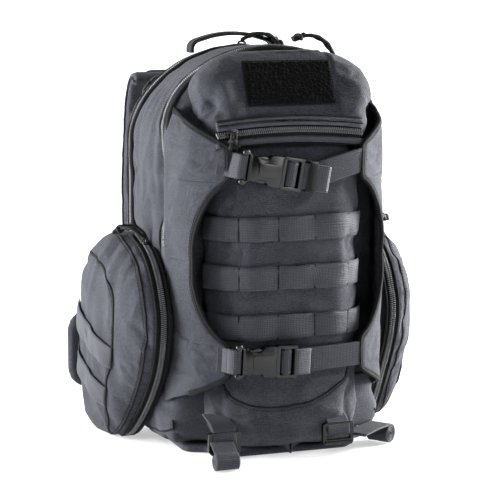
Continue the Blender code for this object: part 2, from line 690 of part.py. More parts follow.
# ---------------------------------------------------------------- lash straps lying in front

def rolled_strap(name, lead, roll_centre, axis, roll_radius, width):
    """A webbing strap with its spare length rolled up, as one solid: a lead and a round roll."""
    axis = Vector(axis).normalized()
    start, end = Vector(lead[0]), Vector(lead[1])
    along = (end - start).normalized()
    face = Vector((0, 0, 1))
    bm = bmesh.new()
    corners = []
    for point in (start, end):
        corners.append([bm.verts.new(point + face * t + axis * w) for t, w in (
            (0, -width / 2), (WEBBING_THICK * 1.5, -width / 2), (WEBBING_THICK * 1.5, width / 2), (0, width / 2))])
    for i in range(4):
        j = (i + 1) % 4
        bm.faces.new((corners[0][i], corners[0][j], corners[1][j], corners[1][i]))
    bm.faces.new(corners[0])
    bm.faces.new(list(reversed(corners[1])))
    obj = finish(name, bm, "webbing")
    bm = bmesh.new()
    turn = Vector((0, 0, 1)).rotation_difference(axis).to_matrix().to_4x4()
    bmesh.ops.create_cone(bm, segments=14, radius1=roll_radius, radius2=roll_radius, depth=width * 1.001,
                          cap_ends=True, matrix=Matrix.Translation(roll_centre) @ turn)
    roll = finish(name + "_roll", bm, "webbing")
    roll.hide_render = True
    modifier = obj.modifiers.new("roll", "BOOLEAN")
    modifier.operation = "UNION"
    modifier.object = roll
    bpy.context.view_layer.update()
    obj.data = bpy.data.meshes.new_from_object(obj.evaluated_get(bpy.context.evaluated_depsgraph_get()))
    obj.modifiers.clear()
    bpy.data.objects.remove(roll, do_unlink=True)
    return obj


LASH_LOCK_Z = (0.012, 0.034)
LASH_LOCK_Y = (-0.1180, -0.1130)
ROLL_RADIUS = 0.0088


def make_lash_lock(name, middle):
    """A ladder-lock hanging in front of the front pouch's foot."""
    (low_z, high_z), (front, back) = LASH_LOCK_Z, LASH_LOCK_Y
    lock = box_object(name, (middle - 0.017, front, low_z), (middle + 0.017, back, high_z), "buckle_plastic")
    for low in (low_z + 0.0040, high_z - 0.0040 - SLOT):
        cut(lock, (middle - 0.0135, front - 0.01, low), (middle + 0.0135, back + 0.01, low + SLOT))


def make_lash_straps():
    """The left strap drops to a roll in front of the pack; the right one runs to a roll at its side."""
    low_z, front = LASH_LOCK_Z[0], LASH_LOCK_Y[0]
    make_lash_lock("left_lash_ladderlock", -0.078)
    rolled_strap("left_lash_strap", ((-0.082, front - 0.0015, 0.0225), (-0.084, -0.1370, 2 * ROLL_RADIUS - 0.0024)),
                 (-0.084, -0.1390, ROLL_RADIUS), (1, 0, 0), ROLL_RADIUS, WEBBING)
    make_lash_lock("right_lash_ladderlock", 0.046)
    roll = Vector((0.1090, -0.0850, ROLL_RADIUS))
    start = Vector((0.0655, -0.1160, 0.0180))
    end = Vector((roll.x - 0.003, roll.y - 0.0021, 2 * ROLL_RADIUS - 0.0024))
    axis = Vector((start.y - end.y, end.x - start.x, 0))
    rolled_strap("right_lash_strap", (start, end), roll, axis, ROLL_RADIUS, WEBBING)


def main():
    clear_scene()
    make_compartments()
    make_back()
    make_front_pouch()
    make_admin_pocket()
    make_loop_patch()
    make_molle_rows()
    for side, sign in (("left", -1), ("right", 1)):
        make_side_pouch(side, sign)
        make_wing(side, sign)
    make_buckles()
    make_zip_tracks()
    make_sliders()
    make_handle()
    make_shoulder_straps()
    make_hip_belt()
    make_lash_straps()


main()
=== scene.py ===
"""Looks of the trauma backpack: padded shells, zips, webbing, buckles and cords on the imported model's frame.

Metres, +Z up, the front faces -Y. Every piece takes its place from the CAD nodes or from the route constants below,
which repeat the driving dimensions of part.py.
"""

import math

import bmesh
import bpy
import numpy as np
from mathutils import Matrix, Vector, noise
from mathutils.bvhtree import BVHTree


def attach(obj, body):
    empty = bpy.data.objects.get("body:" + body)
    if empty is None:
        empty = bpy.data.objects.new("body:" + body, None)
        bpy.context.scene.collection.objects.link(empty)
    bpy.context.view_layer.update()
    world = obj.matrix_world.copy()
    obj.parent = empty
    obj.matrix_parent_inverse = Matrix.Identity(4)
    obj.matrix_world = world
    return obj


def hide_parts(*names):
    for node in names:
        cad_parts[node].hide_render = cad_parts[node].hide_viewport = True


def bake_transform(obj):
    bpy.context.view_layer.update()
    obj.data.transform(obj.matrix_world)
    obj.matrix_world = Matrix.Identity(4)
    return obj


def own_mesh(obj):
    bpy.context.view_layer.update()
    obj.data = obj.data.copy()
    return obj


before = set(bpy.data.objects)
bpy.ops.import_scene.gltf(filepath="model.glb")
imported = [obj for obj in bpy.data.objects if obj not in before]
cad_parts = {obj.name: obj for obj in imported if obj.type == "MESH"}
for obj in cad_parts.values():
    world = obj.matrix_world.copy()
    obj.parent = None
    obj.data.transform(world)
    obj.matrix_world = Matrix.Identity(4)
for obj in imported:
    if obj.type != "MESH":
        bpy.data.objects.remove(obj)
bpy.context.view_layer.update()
SCENE = bpy.context.scene

# Driving dimensions, as in part.py
MAIN_ZIP_Y, REAR_ZIP_Y, BACK_Y = -0.038, 0.068, 0.092
MAIN_ARCH = {"half": 0.115, "spring": 0.330, "corner": 0.070, "crown": 0.416}
REAR_ARCH = {"half": 0.118, "spring": 0.312, "corner": 0.080, "crown": 0.411}
ZIP_END_Z = 0.215
PATCH_Y = -0.109
WEBBING, WEBBING_THICK = 0.025, 0.0016
SIDE_ARC = (0.0145, 0.1292, 0.0844)
SIDE_BACK_Y = 0.086
SIDE_ZIP_X = 0.127
BUCKLE_Y = -0.1245
SOCKET_LENGTH, SOCKET_HEIGHT, PLUG_BASE = 0.043, 0.033, 0.023
BUCKLES = {"upper": (-0.064, 0.3035, math.radians(10), 0.304),
           "lower": (-0.070, 0.1070, math.radians(3), 0.105)}
STRAP_X = 0.070

# Cord pulls
CORD_WIDE = 0.0038
CORD_FOLD = 0.0023  # radius of the fold inside a pull's knot


# ================================================================ camera, light and floor

def aim(obj, away):
    obj.rotation_euler = Vector(away).to_track_quat("Z", "Y").to_euler()


def make_camera():
    azimuth, elevation, distance = math.radians(-20), math.radians(8.5), 2.0
    away = Vector((math.sin(azimuth) * math.cos(elevation), -math.cos(azimuth) * math.cos(elevation),
                   math.sin(elevation)))
    data = bpy.data.cameras.new("camera")
    data.lens, data.sensor_width = 135, 36
    camera = bpy.data.objects.new("camera", data)
    camera.location = Vector((-0.0082, 0, 0.1998)) + away * distance
    aim(camera, away)
    SCENE.collection.objects.link(camera)
    SCENE.camera = camera


def softbox(name, place, width, height, watts):
    data = bpy.data.lights.new(name, "AREA")
    data.shape, data.size, data.size_y, data.energy = "RECTANGLE", width, height, watts
    lamp = bpy.data.objects.new(name, data)
    lamp.location = place
    aim(lamp, Vector(place) - Vector((0, 0, 0.2)))
    SCENE.collection.objects.link(lamp)


def make_studio():
    SCENE.view_settings.view_transform = "Standard"
    SCENE.view_settings.look = "Medium High Contrast"
    world = bpy.data.worlds.new("studio")
    world.use_nodes = True
    tree = world.node_tree
    SCENE.world = world
    place = node(tree, "TexCoord")
    split = node(tree, "SeparateXYZ", Vector=place.outputs["Generated"])
    lift = node(tree, "MapRange", From_Min=-0.1, From_Max=0.75, To_Min=0.04, To_Max=1.02,
                Value=split.outputs["Y"])
    tree.links.new(lift.outputs[0], tree.nodes["Background"].inputs["Strength"])
    tree.nodes["Background"].inputs["Color"].default_value = (1, 1, 1, 1)
    softbox("left_key", (-1.55, 0.42, 0.40), 0.9, 0.9, 68)
    softbox("right_rim", (1.6, 0.02, 0.50), 0.6, 1.0, 95)
    softbox("front_low", (0.7, -1.6, 0.55), 0.7, 0.6, 6)
    softbox("glint", (-1.0, -1.2, 1.35), 0.22, 0.22, 9)
    bm = bmesh.new()
    bmesh.ops.create_grid(bm, x_segments=2, y_segments=2, size=40)
    floor = add("floor", mesh_of("floor", bm), material_floor())


# ================================================================ materials

def node(tree, kind, settings=None, **inputs):
    """Adds a shader node; each input is a value or a socket, and _0, _1 name an input by its place."""
    made = tree.nodes.new("ShaderNode" + kind)
    for key, value in (settings or {}).items():
        setattr(made, key, value)
    for key, value in inputs.items():
        socket = made.inputs[int(key[1:])] if key[1:].isdigit() else made.inputs[key.replace("_", " ")]
        if isinstance(value, bpy.types.NodeSocket):
            tree.links.new(value, socket)
        else:
            socket.default_value = value
    return made


def maths(tree, operation, *values):
    return node(tree, "Math", {"operation": operation}, **{f"_{i}": v for i,
                                                           v in enumerate(values)}).outputs[0]


def shade(name, colour, roughness, specular=0.3, sheen=0.0, metallic=0.0):
    """A new material with its Principled shader's plain settings; returns (material, tree, shader)."""
    made = bpy.data.materials.new(name)
    made.use_nodes = True
    shader = made.node_tree.nodes["Principled BSDF"]
    shader.inputs["Base Color"].default_value = (*colour, 1)
    shader.inputs["Roughness"].default_value = roughness
    shader.inputs["Specular IOR Level"].default_value = specular
    shader.inputs["Metallic"].default_value = metallic
    shader.inputs["Sheen Weight"].default_value = sheen
    shader.inputs["Sheen Roughness"].default_value = 0.4
    return made, made.node_tree, shader


def finish_material(tree, shader, colour, dark, light, factor, height, distance, rough=None):
    """Colour runs from dark to light times colour along factor; height drives the bump."""
    low = tuple(c * dark for c in colour) + (1,)
    high = tuple(min(c * light, 1) for c in colour) + (1,)
    mix = node(tree, "Mix", {"data_type": "RGBA"}, _0=factor, _6=low, _7=high)
    tree.links.new(mix.outputs[2], shader.inputs["Base Color"])
    bump = node(tree, "Bump", None, Strength=0.9, Distance=distance, Height=height)
    tree.links.new(bump.outputs[0], shader.inputs["Normal"])
    if rough is not None:
        span = node(tree, "MapRange", None, Value=factor, To_Min=rough[0], To_Max=rough[1])
        tree.links.new(span.outputs[0], shader.inputs["Roughness"])


def fabric(name, colour, thread=0.00085, sheen=0.08, roughness=0.85):
    """Coarse plain-weave nylon: a basket of threads, slubs and soft patches, with fold crests and thread crowns
    painted paler, painted highlight with some edge wear.
    """
    made, tree, shader = shade(name, colour, roughness, 0.28, sheen)
    place = node(tree, "TexCoord").outputs["Object"]
    turns = 2 * math.pi / (2 * thread)
    wander = node(tree, "TexNoise", None, Vector=place, Scale=140.0, Detail=2.0).outputs["Color"]
    shaken = node(tree, "VectorMath", {"operation": "MULTIPLY_ADD"}, _0=wander, _1=(0.0035, 0.0035, 0.0035),
                  _2=place)
    scaled = node(tree, "VectorMath", {"operation": "SCALE"}, Vector=shaken.outputs[0], Scale=turns)
    waves = node(tree, "VectorMath", {"operation": "SINE"}, Vector=scaled.outputs[0])
    split = node(tree, "SeparateXYZ", None, Vector=waves.outputs[0])
    weave = maths(tree, "ADD", maths(tree, "MULTIPLY", split.outputs[0], split.outputs[2]),
                  maths(tree, "MULTIPLY", split.outputs[1], split.outputs[2]))
    slub = node(tree, "TexNoise", None, Vector=place, Scale=640.0, Detail=2.0, Roughness=0.7).outputs[0]
    patch = node(tree, "TexNoise", None, Vector=place, Scale=26.0, Detail=4.0, Roughness=0.6).outputs[0]
    # Fold crests and edges painted paler from the mesh's pointiness: painted highlight, with some edge wear.
    edge_wear_and_highlight = node(tree, "MapRange", None, Value=node(tree, "NewGeometry").outputs["Pointiness"],
                From_Min=0.47, From_Max=0.56).outputs[0]
    factor = maths(tree, "ADD", maths(tree, "MULTIPLY", slub, 0.85), maths(tree, "MULTIPLY", patch, 0.35))
    # The weave's thread crowns are painted slightly paler, following the bump: painted highlight.
    factor = maths(tree, "ADD", factor, maths(tree, "MULTIPLY", weave, 0.10))
    factor = maths(tree, "ADD", factor, maths(tree, "MULTIPLY", edge_wear_and_highlight, 0.30))
    factor = node(tree, "MapRange", None, Value=factor, From_Min=0.40, From_Max=1.08).outputs[0]
    height = maths(tree, "ADD", maths(tree, "MULTIPLY", weave, 0.5), slub)
    finish_material(tree, shader, colour, 0.38, 1.95, factor, height, 0.0005, (0.92, 0.70))
    return made


def ribbed(name, colour, rib=0.0034, cross=0.0017, roughness=0.72):
    """Woven webbing from its UVs in metres: ribs along the strap broken by the cross threads, and selvages."""
    made, tree, shader = shade(name, colour, roughness, 0.30, 0.10)
    uv = node(tree, "UVMap").outputs[0]
    split = node(tree, "SeparateXYZ", None, Vector=uv)
    ribs = maths(tree, "SINE", maths(tree, "MULTIPLY", split.outputs[0], 2 * math.pi / rib))
    threads = maths(tree, "SINE", maths(tree, "MULTIPLY", split.outputs[1], 2 * math.pi / cross))
    rib_up = maths(tree, "ABSOLUTE", ribs)
    woven = maths(tree, "MULTIPLY", rib_up, maths(tree, "ADD", maths(tree, "MULTIPLY", threads, 0.38), 0.62))
    grain = node(tree, "TexNoise", None, Vector=node(tree, "TexCoord").outputs["Object"], Scale=420.0,
                 Detail=3.0).outputs[0]
    # Rib crowns are painted paler and the grooves between ribs darker, following the bump's height: painted highlight
    # and shade.
    factor = maths(tree, "ADD", maths(tree, "MULTIPLY", woven, 0.65), maths(tree, "MULTIPLY", grain, 0.45))
    finish_material(tree, shader, colour, 0.50, 1.60, factor, woven, 0.0004, (0.80, 0.56))
    return made


def moulded(name, colour, roughness, specular=0.5, grain=0.00006, metallic=0.0):
    """Satin moulded plastic or painted metal: a faint spark-eroded grain, with paler rubbed edges."""
    made, tree, shader = shade(name, colour, roughness, specular, 0.0, metallic)
    place = node(tree, "TexCoord").outputs["Object"]
    fine = node(tree, "TexNoise", None, Vector=place, Scale=1500.0, Detail=2.0).outputs[0]
    smear = node(tree, "TexNoise", None, Vector=place, Scale=90.0, Detail=3.0).outputs[0]
    edge_wear_and_highlight = node(tree, "MapRange", None, Value=node(tree, "NewGeometry").outputs["Pointiness"],
                From_Min=0.52, From_Max=0.60).outputs[0]
    factor = maths(tree, "ADD", maths(tree, "MULTIPLY", smear, 0.6), maths(tree, "MULTIPLY", edge_wear_and_highlight, 0.5))
    finish_material(tree, shader, colour, 0.75, 1.7, factor, fine, grain,
                    (roughness - 0.06, roughness + 0.10))
    return made


def pile(name, colour):
    """Hook-and-loop's fuzzy loop side: clumped fibres, near black, with the loops that stand up painted paler as
    painted highlight.
    """
    made, tree, shader = shade(name, colour, 0.95, 0.12, 0.25)
    place = node(tree, "TexCoord").outputs["Object"]
    loops = node(tree, "TexVoronoi", {"feature": "F1"}, Vector=place, Scale=760.0).outputs[0]
    tufts = node(tree, "TexNoise", None, Vector=place, Scale=330.0, Detail=4.0, Roughness=0.75).outputs[0]
    # The standing tufts are painted paler: painted highlight.
    lit = node(tree, "MapRange", None, Value=tufts, From_Min=0.52, From_Max=0.74).outputs[0]
    finish_material(tree, shader, colour, 0.5, 5.5, maths(tree, "MULTIPLY", lit, loops), tufts, 0.0009)
    return made


def braided(name, colour):
    """Braided cord: small diagonal plaits."""
    made, tree, shader = shade(name, colour, 0.68, 0.30, 0.1)
    place = node(tree, "TexCoord").outputs["Object"]
    cells = node(tree, "TexVoronoi", {"feature": "F1"}, Vector=place, Scale=900.0).outputs[0]
    # Each plait's raised middle is painted paler and the gaps between plaits darker: painted highlight and shade.
    finish_material(tree, shader, colour, 1.5, 0.5, cells, maths(tree, "SUBTRACT", 1.0, cells), 0.0003)
    return made


def spacer_mesh(name, colour):
    """Breathable spacer mesh: a honeycomb of open cells, painted dark as the shade inside them."""
    made, tree, shader = shade(name, colour, 0.95, 0.15, 0.2)
    place = node(tree, "TexCoord").outputs["Object"]
    cells = node(tree, "TexVoronoi", {"feature": "DISTANCE_TO_EDGE"}, Vector=place, Scale=175.0).outputs[0]
    walls = node(tree, "MapRange", None, Value=cells, From_Min=0.10, From_Max=0.32, To_Min=1.0,
                 To_Max=0.0).outputs[0]
    # The open cells are painted dark against paler walls: painted shade inside the cells.
    finish_material(tree, shader, colour, 0.25, 1.9, walls, walls, 0.0006)
    return made


def material_floor():
    made, tree, shader = shade("floor_paint", (0.55, 0.55, 0.55), 0.7, 0.1)
    shader.inputs["Emission Color"].default_value = (1, 1, 1, 1)
    place = node(tree, "TexCoord").outputs["Object"]
    away = node(tree, "VectorMath", {"operation": "LENGTH"}, Vector=place).outputs["Value"]
    # The floor glows though it is no lamp, painted light: its emission rises from 0.42 near the bag to 1.0 further
    # out, so the far floor reads white while the bag's shadow shows near it.
    glow = node(tree, "MapRange", {"interpolation_type": "SMOOTHSTEP"}, Value=away, From_Min=0.22,
                From_Max=0.95,
                To_Min=0.42, To_Max=1.0)
    tree.links.new(glow.outputs[0], shader.inputs["Emission Strength"])
    grain = node(tree, "TexNoise", None, Vector=place, Scale=30.0).outputs[0]
    finish_material(tree, shader, (0.55, 0.55, 0.55), 0.99, 1.0, grain, grain, 0.0001)
    return made


# ================================================================ mesh tools

def mesh_of(name, bm):
    mesh = bpy.data.meshes.new(name)
    bm.to_mesh(mesh)
    bm.free()
    return mesh


def add(name, data, mat=None):
    obj = bpy.data.objects.new(name, data)
    SCENE.collection.objects.link(obj)
    if mat is not None:
        data.materials.clear()
        data.materials.append(mat)
    return obj


def place_piece(obj, body, nodes=()):
    """Rides a finished piece on its body, and hides the CAD nodes it stands for."""
    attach(obj, body)
    if nodes:
        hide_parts(*nodes)
    return obj


def grid_mesh(name, rows, closed=False, caps=False, across=None):
    """A mesh over rows of points. UVs in metres: across the row, then along the rows."""
    count = len(rows[0])
    verts = [p for row in rows for p in row]
    if across is None:
        across = [0.0]
        for a, b in zip(rows[0], list(rows[0][1:]) + [rows[0][0]]):
            across.append(across[-1] + (Vector(b) - Vector(a)).length)
    elif closed:
        across = list(across) + [across[0]]
    down = [0.0]
    for a, b in zip(rows, rows[1:]):
        down.append(down[-1] + (Vector(b[0]) - Vector(a[0])).length)
    faces, uvs = [], []
    span = count if closed else count - 1
    for j in range(len(rows) - 1):
        for i in range(span):
            k = (i + 1) % count
            faces.append((j * count + i, j * count + k, (j + 1) * count + k, (j + 1) * count + i))
            uvs += [(across[i], down[j]), (across[i + 1], down[j]), (across[i + 1], down[j + 1]),
                    (across[i], down[j + 1])]
    if caps:
        last = (len(rows) - 1) * count
        faces.append(tuple(range(count))[::-1])
        faces.append(tuple(range(last, last + count)))
        uvs += [(across[i], 0) for i in range(count)][::-1] + [(across[i], down[-1]) for i in range(count)]
    mesh = bpy.data.meshes.new(name)
    mesh.from_pydata([tuple(v) for v in verts], [], faces)
    layer = mesh.uv_layers.new(name="UVMap")
    layer.data.foreach_set("uv", np.array(uvs, dtype=np.float32).ravel())
    mesh.shade_smooth()
    return mesh


def face_out(mesh):
    bm = bmesh.new()
    bm.from_mesh(mesh)
    bmesh.ops.recalc_face_normals(bm, faces=bm.faces)
    bm.to_mesh(mesh)
    bm.free()


def coords(mesh):
    co = np.empty(len(mesh.vertices) * 3, dtype=np.float32)
    mesh.vertices.foreach_get("co", co)
    return co.reshape(-1, 3)


def normals(mesh):
    no = np.empty(len(mesh.vertices) * 3, dtype=np.float32)
    mesh.vertices.foreach_get("normal", no)
    return no.reshape(-1, 3)


def set_coords(mesh, co):
    mesh.vertices.foreach_set("co", np.ascontiguousarray(co, dtype=np.float32).ravel())
    mesh.update()


def bake(obj):
    """Keeps the object's evaluated mesh, and drops its modifiers."""
    bpy.context.view_layer.update()
    made = bpy.data.meshes.new_from_object(obj.evaluated_get(bpy.context.evaluated_depsgraph_get()))
    obj.modifiers.clear()
    obj.data = made
    return made


def modify(obj, kind, **settings):
    modifier = obj.modifiers.new(kind.lower(), kind)
    for key, value in settings.items():
        setattr(modifier, key, value)
    return modifier


def smooth_path(controls, per_span):
    """An open Catmull-Rom curve through the control points, ends included."""
    ends = [2 * Vector(controls[0]) - Vector(controls[1]), *map(Vector, controls),
            2 * Vector(controls[-1]) - Vector(controls[-2])]
    points = []
    for i in range(len(controls) - 1):
        p0, p1, p2, p3 = ends[i:i + 4]
        for step in range(per_span):
            t = step / per_span
            points.append(0.5 * (2 * p1 + (p2 - p0) * t + (2 * p0 - 5 * p1 + 4 * p2 - p3) * t**2
                                 + (3 * p1 - p0 - 3 * p2 + p3) * t**3))
    return points + [Vector(controls[-1])]


def smooth_loop(controls, per_span):
    """A closed Catmull-Rom curve through the control points."""
    count, points = len(controls), []
    for i in range(count):
        p0, p1, p2, p3 = (Vector(controls[(i + k - 1) % count]) for k in range(4))
        for step in range(per_span):
            t = step / per_span
            points.append(0.5 * (2 * p1 + (p2 - p0) * t + (2 * p0 - 5 * p1 + 4 * p2 - p3) * t**2
                                 + (3 * p1 - p0 - 3 * p2 + p3) * t**3))
    return points


def arc(cx, cy, radius, start, end, steps):
    angles = [math.radians(start + (end - start) * i / steps) for i in range(steps + 1)]
    return [(cx + radius * math.cos(a), cy + radius * math.sin(a)) for a in angles]


def resample(points, step):
    """Points a near equal step apart along a polyline, ends kept."""
    points = [Vector(p) for p in points]
    lengths = [0.0]
    for a, b in zip(points, points[1:]):
        lengths.append(lengths[-1] + (b - a).length)
    count = max(2, round(lengths[-1] / step) + 1)
    made, j = [], 0
    for i in range(count):
        s = lengths[-1] * i / (count - 1)
        while j < len(points) - 2 and lengths[j + 1] < s:
            j += 1
        t = (s - lengths[j]) / max(lengths[j + 1] - lengths[j], 1e-9)
        made.append(points[j].lerp(points[j + 1], min(max(t, 0), 1)))
    return made


def tangents(points):
    return [(points[min(i + 1, len(points) - 1)] - points[max(i - 1,
                                                              0)]).normalized() for i in range(len(points))]


def strip_profile(width, thick):
    """A webbing's cross-section: (across, up) round its slightly thicker selvages."""
    w, t = width / 2, thick / 2
    half = [(-w, 0.0), (-w + 0.0005, t), (-w + 0.0022, t * 1.12), (-w + 0.0034, t), (-w / 3, t), (w / 3, t),
            (w - 0.0034, t), (w - 0.0022, t * 1.12), (w - 0.0005, t)]
    return half + [(-x, -y) for x, y in half]


def strap_mesh(name, points, ups, width, thick=WEBBING_THICK):
    """A strip of webbing along points, whose faces look along ups."""
    profile = strip_profile(width, thick)
    rows = []
    for point, along, up in zip(points, tangents(points), ups):
        up = Vector(up).normalized()
        side = along.cross(up).normalized()
        up = side.cross(along).normalized()
        rows.append([point + side * a + up * b for a, b in profile])
    mesh = grid_mesh(name, rows, True, True, [a for a, _ in profile])
    face_out(mesh)
    return mesh


def tube_mesh(name, points, radius, sides=8, closed=False, flat=1.0, up=(0, 0, 1)):
    """A round cord, or a piping, as a mesh along the points, with a frame carried along it."""
    ups, carried = [], Vector(up)
    ways = tangents(points)
    for way in ways:
        carried = (carried - way * carried.dot(way)).normalized() if abs(carried.dot(way)) < 0.999 else carried
        ups.append(carried.copy())
    rows = []
    for point, way, raised in zip(points, ways, ups):
        side = way.cross(raised).normalized()
        rows.append([point + side * (radius * math.cos(a)) + raised * (radius * flat * math.sin(a))
                     for a in (2 * math.pi * k / sides for k in range(sides))])
    mesh = grid_mesh(name, rows, True, not closed)
    face_out(mesh)
    return mesh


def joined(name, meshes, mat=None):
    """One mesh from several."""
    bm = bmesh.new()
    for mesh in meshes:
        bm.from_mesh(mesh)
    made = mesh_of(name, bm)
    made.shade_smooth()
    if mat is not None:
        made.materials.clear()
        made.materials.append(mat)
    return made


def repeated(name, template, places):
    """One mesh holding a copy of template = (verts, faces) at every matrix in places."""
    base, faces = template
    base = np.array([(*v, 1.0) for v in base])
    verts = np.concatenate([(base @ np.array(m).T)[:, :3] for m in places])
    count = len(base)
    made = bpy.data.meshes.new(name)
    made.from_pydata(verts.tolist(), [], [tuple(i + n * count for i in f) for n in range(len(places)) for f in faces])
    made.shade_smooth()
    return made


def bead(length, width, height):
    """(verts, faces) of a small rounded bar lying along x, resting on z = 0."""
    verts, faces = [], []
    rings = ((-1.0, 0.45), (-0.72, 1.0), (0.72, 1.0), (1.0, 0.45))
    for x, scale in rings:
        for y, z in ((-1, 0.0), (-0.8, 0.7), (0, 1.0), (0.8, 0.7), (1, 0.0)):
            verts.append((x * length / 2, y * width / 2 * scale, z * height * scale))
    for r in range(3):
        for k in range(5):
            n = (k + 1) % 5
            faces.append((r * 5 + k, r * 5 + n, (r + 1) * 5 + n, (r + 1) * 5 + k))
    faces += [(4, 3, 2, 1, 0), (15, 16, 17, 18, 19)]
    return verts, faces


def basis(origin, x, y, z):
    made = Matrix((x, y, z)).transposed().to_4x4()
    made.translation = origin
    return made


# ================================================================ padded shells

SHELLS = []  # (object, pins, cap, growth, pressure) of each shell that the cloth simulation swells


def remeshed(name, mesh, voxel, smoothing=3):
    obj = add(name, mesh)
    modify(obj, "REMESH", mode="VOXEL", voxel_size=voxel)
    modify(obj, "SMOOTH", factor=0.5, iterations=smoothing)
    bake(obj)
    return obj


def soft_copy(name, node_name, voxel, pins, cap=0.008, growth=0.03, pressure=4.0, shape=None):
    """A shell from a CAD node's closed solid, remeshed for the simulation."""
    obj = remeshed(name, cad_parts[node_name].data.copy(), voxel)
    if shape:
        set_coords(obj.data, shape(coords(obj.data)))
    SHELLS.append((obj, pins, cap, growth, pressure))
    return obj


def swell():
    """Inflates every shell as cloth between its pins, and caps how far each point has moved."""
    starts = []
    for obj, pins, _, growth, pressure in SHELLS:
        start = coords(obj.data)
        held = pins(start)
        starts.append(start)
        group = obj.vertex_groups.new(name="pins")
        for level in (1.0, 0.5):
            group.add([int(i) for i in np.nonzero(np.isclose(held, level))[0]], level, "REPLACE")
        cloth = modify(obj, "CLOTH")
        settings = cloth.settings
        settings.quality, settings.mass, settings.air_damping = 4, 0.25, 4.0
        settings.use_pressure, settings.uniform_pressure_force = True, pressure
        settings.vertex_group_mass = "pins"
        settings.shrink_min = -growth
        settings.bending_stiffness = 0.15
        settings.effector_weights.gravity = 0
        cloth.collision_settings.use_collision = False
    for step in range(1, 21):
        SCENE.frame_set(step)
    graph = bpy.context.evaluated_depsgraph_get()
    ends = [coords(obj.evaluated_get(graph).data) for obj, *_ in SHELLS]
    for (obj, _, cap, _, _), start, end in zip(SHELLS, starts, ends):
        obj.modifiers.clear()
        obj.vertex_groups.clear()
        moved = np.nan_to_num(end - start)
        far = np.linalg.norm(moved, axis=1, keepdims=True)
        soft = cap * np.tanh(far / cap)
        set_coords(obj.data, start + moved * soft / np.maximum(far, 1e-9))
    SCENE.frame_set(1)


def refine(obj, levels=1):
    modify(obj, "SMOOTH", factor=0.4, iterations=1)
    modify(obj, "SUBSURF", levels=levels, render_levels=levels)
    bake(obj)
    obj.data.shade_smooth()


def sculpt(obj, push):
    """Moves each point along its normal by push(coords, normals), an array in metres."""
    co, no = coords(obj.data), normals(obj.data)
    set_coords(obj.data, co + no * push(co, no)[:, None])


def bump_at(co, centre, radius):
    """1 at the centre, falling to 0 over radius, for each point; radius is one number or one per axis."""
    away = (co - np.array(centre)) / np.array(radius)
    return np.exp(-np.sum(away * away, axis=1) * 1.5)


def creases(co, stretch, seed, ridge=True):
    """Soft folds in -1..1 drawn out along the long axes of stretch."""
    scaled = co / np.array(stretch) + seed * 7.3
    values = np.array([noise.noise(Vector(p)) for p in scaled.tolist()])
    return 1 - 2.6 * np.abs(values) if ridge else values


def groove(co, line, width):
    """1 on a polyline and 0 past its width, for each point."""
    line = np.array([tuple(p) for p in resample(line, width * 0.6)])
    near = np.full(len(co), 1.0)
    low, high = line.min(0) - width * 3, line.max(0) + width * 3
    picked = np.nonzero(np.all((co > low) & (co < high), axis=1))[0]
    for start in range(0, len(picked), 4000):
        some = picked[start:start + 4000]
        near[some] = np.min(np.linalg.norm(co[some, None, :] - line[None, :, :], axis=2), axis=1)
    return np.exp(-((near / width) ** 2))


def tree_of(*objs):
    """A search tree over the surfaces of several objects."""
    verts, faces = [], []
    for obj in objs:
        start = len(verts)
        verts += [v.co.copy() for v in obj.data.vertices]
        faces += [tuple(i + start for i in f.vertices) for f in obj.data.polygons]
    return BVHTree.FromPolygons(verts, faces)


def lay(tree, points, lift=0.0):
    """[(point, normal)] of the nearest places on a surface."""
    made = []
    for p in points:
        spot, normal, _, _ = tree.find_nearest(Vector(p))
        made.append((spot + normal * lift, normal))
    return made


def laid_strip(name, tree, line, side, width, lift, thick=WEBBING_THICK, columns=7, bulge=None):
    """A strip following a surface: a grid about line, its columns along side, lifted off the surface."""
    tops, downs = [], []
    count = len(line)
    for i, p in enumerate(line):
        sideways = Vector(side[i] if isinstance(side, list) else side)
        row, normal_row = [], []
        for k in range(columns):
            w = (k / (columns - 1) - 0.5) * width
            spot, normal, _, _ = tree.find_nearest(Vector(p) + sideways * w)
            row.append(spot + normal * (lift + (bulge(i / (count - 1)) if bulge else 0.0)))
            normal_row.append(normal)
        tops.append(row)
        downs.append(normal_row)
    tops = relax(tops, 2)
    rows, half = [], width / 2
    for row, normal_row in zip(tops, downs):
        top = [p + n * thick for p, n in zip(row, normal_row)]
        top[0], top[-1] = row[0] + normal_row[0] * thick * 0.6, row[-1] + normal_row[-1] * thick * 0.6
        rows.append(top + row[::-1])
    across = [-half + width * k / (columns - 1) for k in range(columns)]
    mesh = grid_mesh(name, rows, True, True, across + across[::-1])
    face_out(mesh)
    return mesh


def relax(rows, times):
    """Evens out a grid of points along its rows' direction, ends kept."""
    for _ in range(times):
        rows = [rows[0]] + [[(a + b * 2 + c) / 4 for a, b, c in zip(rows[i - 1], rows[i], rows[i + 1])]
                            for i in range(1, len(rows) - 1)] + [rows[-1]]
    return rows


def square_foot(co, half, radius=0.028, z0=0.0015):
    """Fills out the rounded bottom corners of a bag that stands loaded on the floor."""
    made = co.copy()
    cx, cz = half - radius, z0 + radius
    dx, dz = (np.abs(co[:, 0]) - cx) / radius, (cz - co[:, 2]) / radius
    picked = (dx > 0) & (dz > 0)
    length = np.sqrt(dx**2 + dz**2)
    full = length / np.maximum((np.abs(dx) ** 3.2 + np.abs(dz) ** 3.2) ** (1 / 3.2), 1e-6)
    made[picked, 0] = (np.sign(co[:, 0]) * (cx + dx * radius * full))[picked]
    made[picked, 2] = (cz - dz * radius * full)[picked]
    made[:, 0] *= 1 + 0.075 * np.clip(1 - co[:, 2] / 0.060, 0, 1) * np.clip((0.075 - co[:, 1]) / 0.04, 0, 1)
    made[:, 2] = np.maximum(made[:, 2], 0.0008)
    return made


